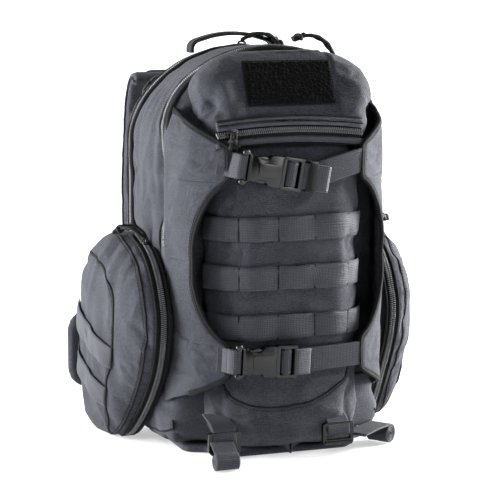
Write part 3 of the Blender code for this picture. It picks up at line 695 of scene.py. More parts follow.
def make_body_shells():
    """The three stacked compartments and the base, swelling between their zips."""
    main = soft_copy("main_shell", "main_compartment", 0.005,
                     lambda co: ((co[:, 1] < -0.0325) | (co[:, 1] > 0.0615) | (co[:, 2] < 0.03)) * 1.0,
                     0.0065, 0.035, 3.5, lambda co: square_foot(co, 0.117))
    front = soft_copy("front_shell", "front_compartment", 0.005,
                      lambda co: ((co[:, 1] > -0.046) | (co[:, 2] < 0.03)) * 1.0,
                      0.005, 0.03, 2.5, lambda co: square_foot(co, 0.1155))
    rear = soft_copy("rear_shell", "rear_compartment", 0.005,
                     lambda co: ((co[:, 1] < 0.0745) | (co[:, 1] > 0.087) | (co[:, 2] < 0.03)) * 1.0,
                     0.004, 0.03, 2.0, lambda co: square_foot(co, 0.119))
    base = soft_copy("base_shell", "base_panel", 0.003, lambda co: (co[:, 2] > -1) * 1.0, 0.001, 0.0, 1.0)
    return main, front, rear, base


FLAP_STEPS = ((0.3225, 0.0790, -0.1030), (0.3290, 0.0825, -0.1080), (0.3450, 0.0870, -0.1090),
              (0.3580, 0.0915, -0.1045), (0.3700, 0.0950, -0.0985), (0.3825, 0.0925, -0.0922),
              (0.3950, 0.0835, -0.0860), (0.4045, 0.0710, -0.0800), (0.4110, 0.0540, -0.0715),
              (0.4140, 0.0360, -0.0610))


def flap_solid():
    """The pocket that hangs over the front: round shoulders on top, drawn in to its zip below."""
    controls = [Vector(s) for s in FLAP_STEPS]
    rows = []
    for z, half, front in smooth_path(controls, 4):
        radius = min(0.022, half * 0.5)
        back = -0.048
        plan = [(half, back), (half, (front + radius + back) / 2)]
        plan += arc(half - radius, front + radius, radius, 0, -90, 8)
        plan += [(half * k / 5 - radius * k / 5, front) for k in range(4, -5, -1)]
        plan += arc(-half + radius, front + radius, radius, 270, 180, 8)
        plan += [(-half, (front + radius + back) / 2), (-half, back)]
        rows.append([Vector((x, y, z)) for x, y in plan])
    mesh = grid_mesh("flap", rows, True, True)
    face_out(mesh)
    return mesh


def make_front_shells():
    flap = remeshed("flap_shell", flap_solid(), 0.004)

    def on_patch(co):
        return (np.abs(co[:, 0]) < 0.052) & (co[:, 2] > 0.352) & (co[:, 2] < 0.4105)

    SHELLS.append((flap, lambda co: np.where((co[:, 1] > -0.060) | (co[:, 2] < 0.344) | on_patch(co), 1.0,
                                             0.0),
                   0.005, 0.04, 3.0))
    pouch = soft_copy("pouch_shell", "front_pouch", 0.0042,
                      lambda co: np.where((co[:, 1] > -0.070) | (co[:, 2] < 0.012), 1.0, 0.0), 0.0042, 0.03,
                      3.0)
    return flap, pouch


SIDE_SECTIONS = (  # distance out, depth kept, rise of the foot, fall of the top
    (0.1145, 0.975, 0.000, 0.000), (0.1200, 0.995, 0.000, 0.000), (0.1250, 1.000, 0.000, 0.000),
    (0.1330, 1.005, 0.000, 0.000), (0.1415, 0.990, 0.000, 0.001), (0.1500, 0.920, 0.001, 0.004),
    (0.1565, 0.820, 0.002, 0.009), (0.1620, 0.715, 0.005, 0.016), (0.1672, 0.620, 0.011, 0.025),
    (0.1712, 0.500, 0.022, 0.040), (0.1736, 0.350, 0.043, 0.062), (0.1744, 0.170, 0.074, 0.086),
)


def side_outline(per_span=4):
    """(y, z) round a side pouch seen from its side: its front, foot and back, then the zip's curve."""
    controls = [(-0.064, 0.112), (-0.048, 0.080), (-0.018, 0.040), (0.014, 0.0105), (0.042, 0.0050),
                (0.070, 0.013),
                (0.083, 0.050), (SIDE_BACK_Y, 0.110), (0.084, 0.165), (0.070, 0.203), (0.043, 0.2205)]
    return smooth_loop(controls + arc(*SIDE_ARC, 100, 172, 5), per_span)


def side_point(p, section, sign):
    out, depth, rise, fall = section
    share = (p.y - 0.003) / 0.2175
    splay = 0.013 * max(1 - p.y / 0.10, 0) ** 2 * min(max((0.176 - out) / 0.045, 0), 1)
    return Vector((sign * (out + splay), SIDE_BACK_Y + (p.x - SIDE_BACK_Y) * depth,
                   p.y + rise * (1 - share) - fall * share))


def make_side_shell(side, sign):
    rows = [[side_point(p, Vector(s), sign) for p in side_outline()]
            for s in smooth_path([Vector(s) for s in SIDE_SECTIONS], 2)]
    mesh = grid_mesh(f"{side}_side", rows, True, True)
    face_out(mesh)
    shell = remeshed(f"{side}_pouch_shell", mesh, 0.004)
    SHELLS.append((shell, lambda co: np.where(np.abs(co[:, 0]) < 0.1365, 1.0, 0.0), 0.0045, 0.04, 2.5))
    return shell


# ================================================================ zips and pipings

def crown_circle(arch):
    inner = arch["half"] - arch["corner"]
    rise = arch["crown"] - arch["spring"]
    radius = (inner**2 + rise**2 - arch["corner"] ** 2) / (2 * (rise - arch["corner"]))
    centre = arch["crown"] - radius
    return centre, radius, math.degrees(math.atan2(inner, arch["spring"] - centre))


def arch_line(arch, y, low=ZIP_END_Z, inset=0.0, step=0.004):
    """(points, outward normals) along a compartment's edge, from its right end over the crown to its left."""
    centre, radius, spread = crown_circle(arch)
    inner = arch["half"] - arch["corner"]
    line = [(arch["half"] - inset, low)]
    line += arc(inner, arch["spring"], arch["corner"] - inset, 0, 90 - spread, 14)
    line += arc(0, centre, radius - inset, 90 - spread, 90 + spread, 32)[1:]
    line += arc(-inner, arch["spring"], arch["corner"] - inset, 90 + spread, 180, 14)[1:]
    line += [(-arch["half"] + inset, low)]
    points = resample([(x, y, z) for x, z in line], step)
    outs = [Vector((-w.z, 0, w.x)) * -1 for w in tangents(points)]
    points = [p + Vector((waist(p), 0, 0)) for p in points]
    return points, outs


def waist(p):
    """How far the bag's side draws in under the wings' pull, as a move along x."""
    near = math.exp(-1.5 * (((p[2] - 0.276) / 0.044) ** 2 + ((p[1] + 0.038) / 0.034) ** 2))
    return 0.0060 * near if p[0] < -0.09 else 0.0


def coil_places(points, outs, side, pitch=0.0021, gap=0.0015, lift=0.0016):
    """Matrices for a coil's teeth: two rows, half a pitch apart, each tooth lying across the zip."""
    fine, places = resample(points, pitch / 2), []
    coarse = NormalLine(points, outs)
    for i, p in enumerate(fine):
        out = coarse.out_at(i / (len(fine) - 1))
        along = tangents(fine[max(i - 1, 0):i + 2])[0]
        across = along.cross(out).normalized() if side is None else side[0]
        way = 1 if i % 2 else -1
        turn = basis(p + out * lift + across * way * gap, across, out.cross(across), out)
        places.append(turn)
    return places


class NormalLine:
    """Looks up a blended normal along a line by its share of the length."""

    def __init__(self, points, outs):
        self.outs = outs
        lengths = [0.0]
        for a, b in zip(points, points[1:]):
            lengths.append(lengths[-1] + (b - a).length)
        self.shares = [s / lengths[-1] for s in lengths]

    def out_at(self, share):
        j = int(np.searchsorted(self.shares, share, side="right")) - 1
        j = min(max(j, 0), len(self.outs) - 2)
        t = (share - self.shares[j]) / max(self.shares[j + 1] - self.shares[j], 1e-9)
        return self.outs[j].lerp(self.outs[j + 1], min(max(t, 0), 1)).normalized()


TOOTH = bead(0.0034, 0.00115, 0.0021)
STITCH = bead(0.0023, 0.00065, 0.00042)


def make_zip(name, points, outs, mats, track_node, side=None, width=0.0165, lift=0.0010):
    """A coil zip: a black tape with a raised rib each side, and two rows of teeth down the middle."""
    body = "pack"
    tape = strap_mesh(name + "_tape", [p + o * lift for p, o in zip(points, outs)], outs, width, 0.0010)
    place_piece(add(name + "_tape", tape, mats["zip_tape"]), body, [track_node])
    teeth = repeated(name + "_teeth", TOOTH, coil_places(points, outs, side, lift=lift + 0.0004))
    place_piece(add(name + "_teeth", teeth, mats["coil"]), body, [track_node])


def make_piping(name, points, outs, radius, mat, offset, lift, body="pack", slot="cordura", tree=None):
    """A piping beside a line; on a shell's surface, where a tree is given."""
    line = [p + Vector(offset) + o * lift for p, o in zip(points, outs)]
    if tree:
        line = [p for p, _ in lay(tree, line, radius * 0.35)]
        for _ in range(3):
            line = [line[0]] + [(a + b * 2 + c) / 4 for a, b, c in zip(line, line[1:], line[2:])] + [line[-1]]
    return place_piece(add(name, tube_mesh(name, line, radius, 10), mat), body)


def stitch_row(name, points, ups, mat, pitch=0.0034, body="pack", lift=0.0001):
    """A row of sewn thread along points on a surface whose normals are ups."""
    fine = resample(points, pitch)
    line = NormalLine(points, [Vector(u) for u in ups])
    places = []
    for i, (p, way) in enumerate(zip(fine, tangents(fine))):
        out = line.out_at(i / max(len(fine) - 1, 1))
        side = out.cross(way).normalized()
        places.append(basis(p + out * lift, way, side, way.cross(side)))
    return place_piece(add(name, repeated(name, STITCH, places), mat), body)


def make_compartment_zips(mats, trees):
    for label, arch, y in (("rear", REAR_ARCH, REAR_ZIP_Y), ("main", MAIN_ARCH, MAIN_ZIP_Y)):
        points, outs = arch_line(arch, y)
        make_zip(f"{label}_zip", points, outs, mats, f"{label}_zip_track", [Vector((0, 1, 0))])
        make_piping(f"{label}_zip_piping", *arch_line(arch, y, ZIP_END_Z - 0.03), 0.0030, mats["binding"],
                    (0, -0.0098 if label == "main" else -0.0118, 0), 0.0026, tree=trees[label])
        make_piping(f"{label}_zip_edge", *arch_line(arch, y, ZIP_END_Z - 0.01), 0.0016, mats["binding"],
                    (0, 0.0086, 0), 0.0012, tree=trees["rear_edge" if label == "rear" else "rear"])
        for side, end in (("right", 0), ("left", -1)):
            foot = points[end]
            line = [foot + Vector((0, 0, dz)) + outs[end] * 0.0012 for dz in (0.006, 0.0, -0.006, -0.013,
                                                                              -0.020)]
            tab = strap_mesh(f"{label}_zip_tab_{side}", line, [outs[end]] * 5, 0.0145, 0.0020)
            place_piece(add(f"{label}_zip_tab_{side}", tab, mats["webbing"]), "pack")


def make_admin_zip(mats):
    xs = [-0.0835 + 0.1560 * i / 40 for i in range(41)]

    def arch_z(x):
        return 0.3374 - 0.0046 * ((x + 0.006) / 0.075) ** 2

    points = [Vector((x, PATCH_Y - 0.0002, arch_z(x))) for x in xs]
    outs = [Vector((0, -1, 0))] * len(points)
    make_zip("admin_zip", points, outs, mats, "admin_zip_track", None, 0.0115, 0.0006)
    lip = [p + Vector((0, -0.0022, 0.0088)) for p in points]
    garage = strap_mesh("admin_garage", lip, [Vector((0, -1, 0.35))] * len(lip), 0.0090, 0.0034)
    place_piece(add("admin_garage", garage, mats["cordura"]), "pack")
    make_piping("admin_piping_top", points, outs, 0.0013, mats["binding"], (0, 0, 0.0142), 0.0012)
    make_piping("admin_piping_low", points, outs, 0.0034, mats["cordura"], (0, 0.0008, -0.0096), 0.0010)
    make_piping("admin_piping_foot", points, outs, 0.0012, mats["binding"], (0, 0, -0.0136), -0.0004)


def side_line(sign, first, last, section):
    """(points, outward normals) of a side pouch's edge between two places on its outline."""
    loop = side_outline()
    count = len(loop)
    points = [side_point(loop[i % count], section, sign) for i in range(first, last)]
    points = resample(points, 0.004)
    outs = [Vector((0, w.z, -w.y)).normalized() for w in tangents(points)]
    middle = Vector((0, 0.012, 0.115))
    outs = [o if o.dot(p - middle) > 0 else -o for p, o in zip(points, outs)]
    return points, outs


PANEL_EDGE = ((0.060, 0.198), (0.030, 0.1940), (0.0060, 0.185), (-0.0150, 0.168), (-0.0240, 0.148),
              (-0.0250, 0.126),
              (-0.0170, 0.098), (-0.0040, 0.070), (0.0070, 0.044), (0.0150, 0.022), (0.0290, 0.006))


def beamed(tree, sign, y, z):
    """Where a level line from outside meets a side pouch, as (point, normal)."""
    spot, normal, _, _ = tree.ray_cast(Vector((sign * 0.25, y, z)), Vector((-sign, 0, 0)))
    if spot is None:
        spot, normal, _, _ = tree.find_nearest(Vector((sign * 0.165, y, z)))
    return spot, normal


def beamed_strip(name, tree, sign, line, width, lift, thick, columns=9, bulge=None):
    """A strip over a side pouch along a line of (y, z), laid on by level rays so that its edges stay straight."""
    rows, half = [], width / 2
    ways = tangents([Vector((0, y, z)) for y, z in line])
    for i, ((y, z), way) in enumerate(zip(line, ways)):
        across = Vector((0, -way.z, way.y))
        raised = lift + (bulge(i / (len(line) - 1)) if bulge else 0.0)
        laid = [beamed(tree, sign, y + across.y * w, z + across.z * w)
                for w in (half * (2 * k / (columns - 1) - 1) for k in range(columns))]
        low = [p + n * raised for p, n in laid]
        top = [p + n * (raised + thick * (0.6 if k in (0, columns - 1) else 1.0)) for k,
               (p, n) in enumerate(laid)]
        rows.append(top + low[::-1])
    across = [-half + width * k / (columns - 1) for k in range(columns)]
    mesh = grid_mesh(name, relax(rows, 2), True, True, across + across[::-1])
    face_out(mesh)
    return mesh


def band_puff(t):
    """How far a side pouch's band stands off the shell, at a share t of its length."""
    return 0.0002 + 0.0018 * abs(math.sin(math.pi * t * 2)) ** 0.7 * min(1, t * 4)


def make_side_trim(side, sign, mats, shell_tree):
    """A side pouch's zip, its gusset and panel pipings, its slanting bands and its tabs."""
    points, outs = side_line(sign, 42, 84, (0.127, 1.0, 0, 0))
    make_zip(f"{side}_pouch_zip", points, outs, mats, f"{side}_pouch_zip_track", [Vector((sign, 0, 0))],
             0.0150, 0.0012)
    edge = [p + Vector((sign * 0.0072, 0, 0)) + o * 0.0012 for p, o in zip(points, outs)]
    place_piece(add(f"{side}_zip_welt", tube_mesh(f"{side}_zip_welt", edge, 0.0015, 8), mats["binding"]),
                "pack")
    inner = [p - Vector((sign * 0.0068, 0, 0)) + o * 0.0016 for p, o in zip(points, outs)]
    place_piece(add(f"{side}_zip_welt_inner", tube_mesh(f"{side}_zip_welt_inner", inner, 0.0019, 8),
                    mats["binding"]), "pack")
    gusset, _ = side_line(sign, 40, 86, (0.1440, 0.975, 0.0, 0.0015))
    gusset = [p for p, _ in lay(shell_tree, gusset, 0.0002)]
    panel = [beamed(shell_tree, sign, p.x, p.y)[0]
             for p in resample(smooth_path([Vector((y, z, 0)) for y, z in PANEL_EDGE], 6), 0.004)]
    for label, line, radius in (("flap", gusset, 0.0011), ("panel", panel, 0.0012)):
        seam = tube_mesh(f"{side}_{label}_seam", line, radius, 8)
        place_piece(add(f"{side}_{label}_seam", seam, mats["binding"]), "pack")
        stitched = lay(shell_tree, [p + Vector((sign * 0.0032, 0.0016, 0)) for p in line], 0.0)
        stitch_row(f"{side}_{label}_stitches", [p for p, _ in stitched], [n for _, n in stitched],
                   mats["thread"])
    for label, back, front in (("upper", (0.0800, 0.1330), (-0.0170, 0.0965)),
                               ("lower", (0.0800, 0.0860), (0.0030, 0.0510))):
        line = [(back[0] + (front[0] - back[0]) * t, back[1] + (front[1] - back[1]) * t)
                for t in (i / 40 for i in range(41))]
        band = beamed_strip(f"{side}_band_{label}", shell_tree, sign, line, WEBBING, 0.0004, WEBBING_THICK,
                            bulge=band_puff)
        place_piece(add(f"{side}_band_{label}", band, mats["webbing"]), "pack",
                    [f"{side}_pouch_band_{label}"])
        y, z = line[20]
        tack = beamed_strip(f"{side}_band_tack_{label}", shell_tree, sign,
                            [(y + 0.0043 * d, z + 0.0115 * d) for d in (-1, -0.5, 0, 0.5, 1)], 0.0018,
                            0.0020, 0.0008, 3)
        place_piece(add(f"{side}_band_tack_{label}", tack, mats["thread"]), "pack")
    foot, foot_out = points[-1], outs[-1]
    along = tangents(points)[-1]
    tab_line = [foot + along * d + foot_out * 0.0022 for d in (-0.012, -0.007, -0.002, 0.003)]
    tab_line = [Vector((p.x, p.y, max(p.z, 0.0034))) for p in tab_line]
    tab = strap_mesh(f"{side}_zip_foot_tab", tab_line, [foot_out] * 4, 0.0160, 0.0022)
    place_piece(add(f"{side}_zip_foot_tab", tab, mats["webbing"]), "pack")


# ================================================================ front trims

MOLLE_ROWS = (0.238, 0.188, 0.138)
TACKS = (-0.0610, -0.0200, 0.0200, 0.0580)
U_SEAM = ((-0.0840, -0.085, 0.092), (-0.0800, -0.095, 0.078), (-0.0590, -0.106, 0.0615),
          (-0.0210, -0.110, 0.0540),
          (0.0220, -0.110, 0.0590), (0.0480, -0.108, 0.0740), (0.0680, -0.102, 0.0960),
          (0.0780, -0.094, 0.118))


def make_molle(mats, pouch_tree):
    plan = [(-0.0830, -0.070), (-0.0810, -0.080), (-0.0750, -0.094), (-0.0650, -0.103), (-0.0520, -0.1095),
            (0, -0.1110), (0.0520, -0.1095), (0.0650, -0.103), (0.0750, -0.094), (0.0810, -0.080),
            (0.0830, -0.070)]
    for row, z in enumerate(MOLLE_ROWS, start=1):
        line = resample(smooth_path([Vector((x, y, z)) for x, y in plan], 6), 0.0024)
        stops = (-0.09, *TACKS, 0.09)

        def lift_at(t, line=line, row=row):
            x = line[round(t * (len(line) - 1))].x
            for a, b in zip(stops, stops[1:]):
                if a <= x <= b:
                    share = (x - a) / (b - a)
                    return 0.0019 * math.sin(math.pi * share) ** 0.7 * (1 + 0.3 * math.sin(row * 5 + a * 90))
            return 0.0

        strip = laid_strip(f"molle_strip_{row}", pouch_tree, line, Vector((0, 0, 1)), WEBBING, 0.0006,
                           bulge=lift_at)
        place_piece(add(f"molle_strip_{row}", strip, mats["webbing"]), "pack",
                    [f"molle_row_{row}"])
        for number, x in enumerate(TACKS):
            tack = laid_strip(f"tack_{row}_{number}", pouch_tree,
                              [Vector((x, -0.111, z + d * 0.0122)) for d in (-1, -0.5, 0, 0.5, 1)],
                              Vector((1, 0, 0)), 0.0019, 0.0019, 0.0009, 3)
            place_piece(add(f"tack_{row}_{number}", tack, mats["thread"]), "pack")


def make_pouch_seam(mats, pouch_tree):
    run = resample(smooth_path([Vector(p) for p in U_SEAM], 8), 0.0035)
    laid = lay(pouch_tree, run, -0.0001)
    seam = tube_mesh("pouch_seam", [p for p, _ in laid], 0.0010, 8)
    place_piece(add("pouch_seam", seam, mats["binding"]), "pack")
    below = lay(pouch_tree, [p - Vector((0, 0, 0.0038)) for p, _ in laid], 0.0)
    stitch_row("pouch_seam_stitches", [p for p, _ in below], [n for _, n in below], mats["thread"])


def patch_frame():
    """(middle, across, up, outward) of the loop patch on the flap's sloping front."""
    low, high = Vector((0, -0.1045, 0.358)), Vector((0, -0.0800, 0.407))
    up = (high - low).normalized()
    return (low + high) / 2, Vector((1, 0, 0)), up, Vector((0, -up.z, up.y))


def make_loop_patch(mats):
    middle, across, up, out = patch_frame()
    half_w, half_h, cell = 0.0470, 0.0240, 0.00075
    columns, rows_up = round(2 * half_w / cell), round(2 * half_h / cell)
    rows = []
    for j in range(rows_up + 1):
        b = -half_h + 2 * half_h * j / rows_up
        row = []
        for i in range(columns + 1):
            a = -half_w + 2 * half_w * i / columns
            edge = min(half_w - abs(a), half_h - abs(b))
            tuft = noise.noise(Vector((a, b, 0)) * 640) + 0.7 * noise.noise(Vector((a, b, 3)) * 300)
            high = 0.0004 + 0.0024 * min(edge / 0.0016, 1) + 0.0008 * tuft * min(edge / 0.001, 1)
            row.append(middle + across * a + up * b + out * high)
        rows.append(row)
    pile_mesh = grid_mesh("loop_pile", rows)
    face_out(pile_mesh)
    patch = add("loop_pile", pile_mesh, mats["loop_pile"])
    modify(patch, "SOLIDIFY", thickness=0.0006, offset=-1)
    bake(patch)
    place_piece(patch, "pack", ["loop_patch"])
    border = [middle + across * a + up * b + out * 0.0008 for a, b in (
        (-half_w, -half_h), (half_w, -half_h), (half_w, half_h), (-half_w, half_h), (-half_w, -half_h))]
    edge = [tube_mesh("edge", resample([p, q], 0.01), 0.0009, 6) for p, q in zip(border, border[1:])]
    place_piece(add("loop_patch_edge", joined("loop_patch_edge", edge), mats["binding"]), "pack")
    inset = [middle + across * a * 0.975 + up * b * 0.95 + out * 0.0026 for a, b in (
        (-half_w, -half_h), (half_w, -half_h), (half_w, half_h), (-half_w, half_h), (-half_w, -half_h))]
    for number, (p, q) in enumerate(zip(inset, inset[1:])):
        run = resample([p, q], 0.003)
        stitch_row(f"patch_stitches_{number}", run, [out] * len(run), mats["thread"], 0.0030)


def make_gore(side, sign, mats, tree):
    """The foot of the bag's side: one panel drawn tight from the main compartment to the front, and its boot seam."""
    ys = [0.030 - 0.131 * i / 38 for i in range(39)]
    rows = []
    for z in (0.0012 + 0.0698 * j / 20 for j in range(21)):
        hits = []
        for y in ys:
            spot, _, _, _ = tree.ray_cast(Vector((sign * 0.25, y, z)), Vector((-sign, 0, 0)))
            hits.append(abs(spot.x) if spot else 0.0)
        hull = []
        for y, x in zip(ys, hits):
            while len(hull) > 1 and ((hull[-1][0] - hull[-2][0]) * (x - hull[-2][1])
                                     - (hull[-1][1] - hull[-2][1]) * (y - hull[-2][0])) < 0:
                hull.pop()
            hull.append((y, x))
        taut = np.interp(ys[::-1], [h[0] for h in hull[::-1]], [h[1] for h in hull[::-1]])[::-1]
        rows.append([Vector((sign * (float(x) + 0.0008), y, z)) for y, x in zip(ys, taut)])
    rows = relax(rows, 3)
    sheet = add(f"{side}_foot_gore", grid_mesh(f"{side}_foot_gore", rows))
    if sum(p.normal.x * sign for p in sheet.data.polygons) < 0:
        sheet.data.flip_normals()
    co = coords(sheet.data)
    push = 0.0022 * creases(co, (0.03, 0.034, 0.014), 8 + sign) * np.clip(co[:, 2] / 0.02, 0, 1)
    co[:, 0] += sign * np.clip(push, -0.0006, 0.0022)
    set_coords(sheet.data, co)
    modify(sheet, "SOLIDIFY", thickness=0.0012, offset=-1)
    bake(sheet)
    sheet.data.materials.clear()
    sheet.data.materials.append(mats["cordura"])
    sheet.data.shade_smooth()
    place_piece(sheet, "pack")
    laid_on = tree_of(sheet)
    run = smooth_path([Vector((sign * 0.13, y, z)) for y, z in
                       ((0.028, 0.004), (0.0, 0.0075), (-0.035, 0.0150), (-0.066, 0.0240),
                        (-0.084, 0.0300))], 6)
    seam = [p for p, _ in lay(laid_on, run, 0.0)]
    for _ in range(3):
        seam = [seam[0]] + [(a + b * 2 + c) / 4 for a, b, c in zip(seam, seam[1:], seam[2:])] + [seam[-1]]
    place_piece(add(f"{side}_boot_seam", tube_mesh(f"{side}_boot_seam", seam, 0.0011, 8), mats["binding"]),
                "pack")


# ================================================================ wings

WING_SEAM, WING_BEND, WING_TIP = Vector((0.1172, -0.043)), Vector((0.105, -0.102)), Vector((0.071, -0.1150))


def wing_point(t, z):
    """(x, y) on the wing at height z, a share t of the way from its seam to its tip; it follows the crown's curve in."""
    rise = max(z - MAIN_ARCH["spring"], 0.0)
    drawn = MAIN_ARCH["corner"] - math.sqrt(MAIN_ARCH["corner"] ** 2 - rise**2) + 0.10 * rise
    seam, bend = WING_SEAM - Vector((drawn, 0)), WING_BEND - Vector((drawn * 0.8, 0))
    return seam * (1 - t) ** 2 + bend * 2 * t * (1 - t) + WING_TIP * t * t


def wing_reach(z):
    """How far the wing reaches across at height z, as t: two tips with a scallop between them."""
    top, tip_top, tip_low = 0.357, 0.321, 0.287
    foot_top, foot_low, bottom = 0.122, 0.089, 0.055
    if z > tip_top:
        return (top - z) / (top - tip_top) * 0.98 + 0.02
    if z < foot_low:
        return (z - bottom) / (foot_low - bottom) * 0.98 + 0.02
    if foot_top < z < tip_low:
        middle, half = (foot_top + tip_low) / 2, (tip_low - foot_top) / 2
        return 1 - 0.50 * (1 - ((z - middle) / half) ** 2) ** 0.6
    return 1.0


WING_STOPS = (0.055, 0.089, 0.122, 0.2045, 0.287, 0.321, 0.357)
WING_STEPS = (12, 8, 24, 24, 8, 14)
WING_COLUMNS = 26


def wing_heights():
    """Heights closer together near the tips, where the scallop turns fast."""
    made = []
    for (a, b), count in zip(zip(WING_STOPS, WING_STOPS[1:]), WING_STEPS):
        for i in range(count):
            t = i / count
            t = t * t * (3 - 2 * t) if count == 24 else t
            made.append(a + (b - a) * t)
    return made + [WING_STOPS[-1]]


def make_wing_sheet(side, sign):
    """A wing as one sheet, to be swelled between its seam and its tips."""
    rows = []
    for z in wing_heights():
        reach = wing_reach(z)
        row = []
        for k in range(WING_COLUMNS + 1):
            p = wing_point(reach * k / WING_COLUMNS, z)
            row.append(Vector((sign * p.x, p.y - 0.0008, z)))
        rows.append(row)
    mesh = grid_mesh(f"{side}_wing_sheet", rows)
    if sign > 0:
        mesh.flip_normals()
    sheet = add(f"{side}_wing_sheet", mesh)
    if sum(p.normal.x * sign - p.normal.y for p in mesh.polygons) < 0:
        mesh.flip_normals()

    def pins(co):
        seam = np.abs(co[:, 0]) > 0.1150 - np.maximum(co[:, 2] - 0.330, 0) * 0.35
        tips = (np.abs(co[:, 0]) < 0.080) & ((np.abs(co[:, 2] - 0.304) < 0.018) | (np.abs(co[:, 2] - 0.1055) < 0.017))
        return (seam | tips) * 1.0

    SHELLS.append((sheet, pins, 0.0065, 0.022, 1.2))
    return sheet


SEAM_DEPTHS = (0.0, 0.005, 0.013)  # how far in from the wing's edge, the last inside the shell


def make_wing_seam(side, sign, seam, mats):
    """The seam allowance that carries a wing's fabric in to the shell it is sewn to."""
    rows = [[p + Vector((-sign * depth, -depth * 0.1, 0)) for depth in SEAM_DEPTHS] for p in seam]
    strip = add(f"{side}_wing_seam", grid_mesh(f"{side}_wing_seam", rows), mats["cordura"])
    modify(strip, "SOLIDIFY", thickness=0.0014, offset=0)
    bake(strip)
    strip.data.shade_smooth()
    place_piece(strip, "pack")


def finish_wing(side, sign, sheet, mats):
    """Gives the swelled sheet its thickness, its bound edge, its stitched hem and its stitched tips."""
    wide = WING_COLUMNS + 1
    base, no = coords(sheet.data).copy(), normals(sheet.data).copy()
    count = len(base) // wide
    make_wing_seam(side, sign, [Vector(base[i * wide]) for i in range(count)], mats)
    first = next(i for i, z in enumerate(wing_heights()) if wing_reach(z) > 0.42)
    rim = [(i, WING_COLUMNS) for i in range(first, count)]
    edge = [Vector(base[i * wide + k]) for i, k in rim]
    ups = [Vector(no[i * wide + k]) for i, k in rim]
    inner = [Vector(base[i * wide + WING_COLUMNS - 1]) for i, _ in rim]
    binding_line, binding_ups = [], []
    for p, q, n in zip(edge, inner, ups):
        inward = (q - p).normalized()
        binding_line.append(p + inward * 0.0012 - n * 0.0008)
        binding_ups.append(n)
    place = resample(binding_line, 0.003)
    line = NormalLine(binding_line, binding_ups)
    ups_even = [line.out_at(i / (len(place) - 1)) for i in range(len(place))]
    for _ in range(3):
        place = [place[0]] + [(a + b * 2 + c) / 4 for a, b,
                              c in zip(place, place[1:], place[2:])] + [place[-1]]
    binding = strap_mesh(f"{side}_wing_binding", place, ups_even, 0.0062, 0.0040)
    place_piece(add(f"{side}_wing_binding", binding, mats["binding"]), "pack")
    modify(sheet, "SUBSURF", levels=1, render_levels=1)
    modify(sheet, "SOLIDIFY", thickness=0.0016, offset=-1)
    bake(sheet)
    sheet.data.materials.clear()
    sheet.data.materials.append(mats["cordura"])
    sheet.data.shade_smooth()
    place_piece(sheet, "pack", [f"{side}_wing"])
    tree = tree_of(sheet)
    hem = [p + (q - p).normalized() * 0.0052 for p, q in zip(edge, inner)]
    hem = [hem[0]] + [(a + b * 2 + c) / 4 for a, b, c in zip(hem, hem[1:], hem[2:])] + [hem[-1]]
    laid = lay(tree, resample(hem, 0.0035))
    laid = [(p, n) if n.dot(Vector((sign, -1, 0))) > 0 else (p - n * 0.0016, -n) for p, n in laid]
    stitch_row(f"{side}_wing_hem", [p for p, _ in laid], [n for _, n in laid], mats["thread"])
    for label, z in (("upper", 0.304), ("lower", 0.1055)):
        for inset in (0.0065, 0.0095):
            start = [Vector((sign * (WING_TIP.x + inset), -0.125, z + d)) for d in (-0.0125, -0.006, 0,
                                                                                    0.006, 0.0125)]
            laid = [(p, n) if n.y < 0 else (p - n * 0.0016, -n) for p, n in lay(tree, start)]
            stitch_row(f"{side}_{label}_tip_{int(inset * 1e4)}", [p for p, _ in laid], [n for _, n in laid],
                       mats["thread"], 0.0026)
    return tree


# ================================================================ buckles, ladder-locks and their webbing

def plate(name, outline, low, high, holes=(), bevel=0.0007, taper=None):
    """A moulded plate: a flat outline of (x, z) between two depths, with outlines cut through it, edges rounded."""

    def prism(points, a, b):
        bm = bmesh.new()
        rings = [[bm.verts.new((x, y, z)) for x, z in points] for y in (a, b)]
        for i in range(len(points)):
            j = (i + 1) % len(points)
            bm.faces.new((rings[0][i], rings[0][j], rings[1][j], rings[1][i]))
        bm.faces.new(rings[0][::-1])
        bm.faces.new(rings[1])
        bmesh.ops.recalc_face_normals(bm, faces=bm.faces)
        return mesh_of("prism", bm)

    obj = add(name, prism(outline, low, high))
    for points, a, b in holes:
        cutter = add("cutter", prism(points, a, b))
        modify(obj, "BOOLEAN", operation="DIFFERENCE", object=cutter)
        bake(obj)
        bpy.data.objects.remove(cutter, do_unlink=True)
    if taper:
        co = coords(obj.data)
        co[:, 1] *= np.array([taper(x) for x in co[:, 0]])
        set_coords(obj.data, co)
    modify(obj, "BEVEL", width=bevel, segments=3, limit_method="ANGLE", angle_limit=math.radians(28))
    bake(obj)
    obj.data.shade_smooth()
    obj.data.set_sharp_from_angle(angle=math.radians(50))
    return obj


def both_ways(upper):
    """A closed outline from its upper half, mirrored about z = 0."""
    return list(upper) + [(x, -z) for x, z in reversed(upper)]


def rounded(x0, x1, z0, z1, r=0.0010, steps=3):
    points = arc(x1 - r, z0 + r, r, -90, 0, steps) + arc(x1 - r, z1 - r, r, 0, 90, steps)
    return points + arc(x0 + r, z1 - r, r, 90, 180, steps) + arc(x0 + r, z0 + r, r, 180, 270, steps)


SOCKET_EDGE = ((0.0000, 0.0128), (0.0002, 0.0150), (0.0012, 0.0164), (0.0028, 0.0168), (0.0054, 0.0166),
               (0.0078, 0.0156), (0.0090, 0.0140), (0.0100, 0.0128), (0.0124, 0.0124), (0.0146, 0.0132),
               (0.0158, 0.0130), (0.0172, 0.0112), (0.0196, 0.0101), (0.0228, 0.0098), (0.0260, 0.0103),
               (0.0282, 0.0118), (0.0294, 0.0136), (0.0312, 0.0150), (0.0340, 0.0156), (0.0400, 0.0158),
               (0.0424, 0.0156), (0.0430, 0.0148))


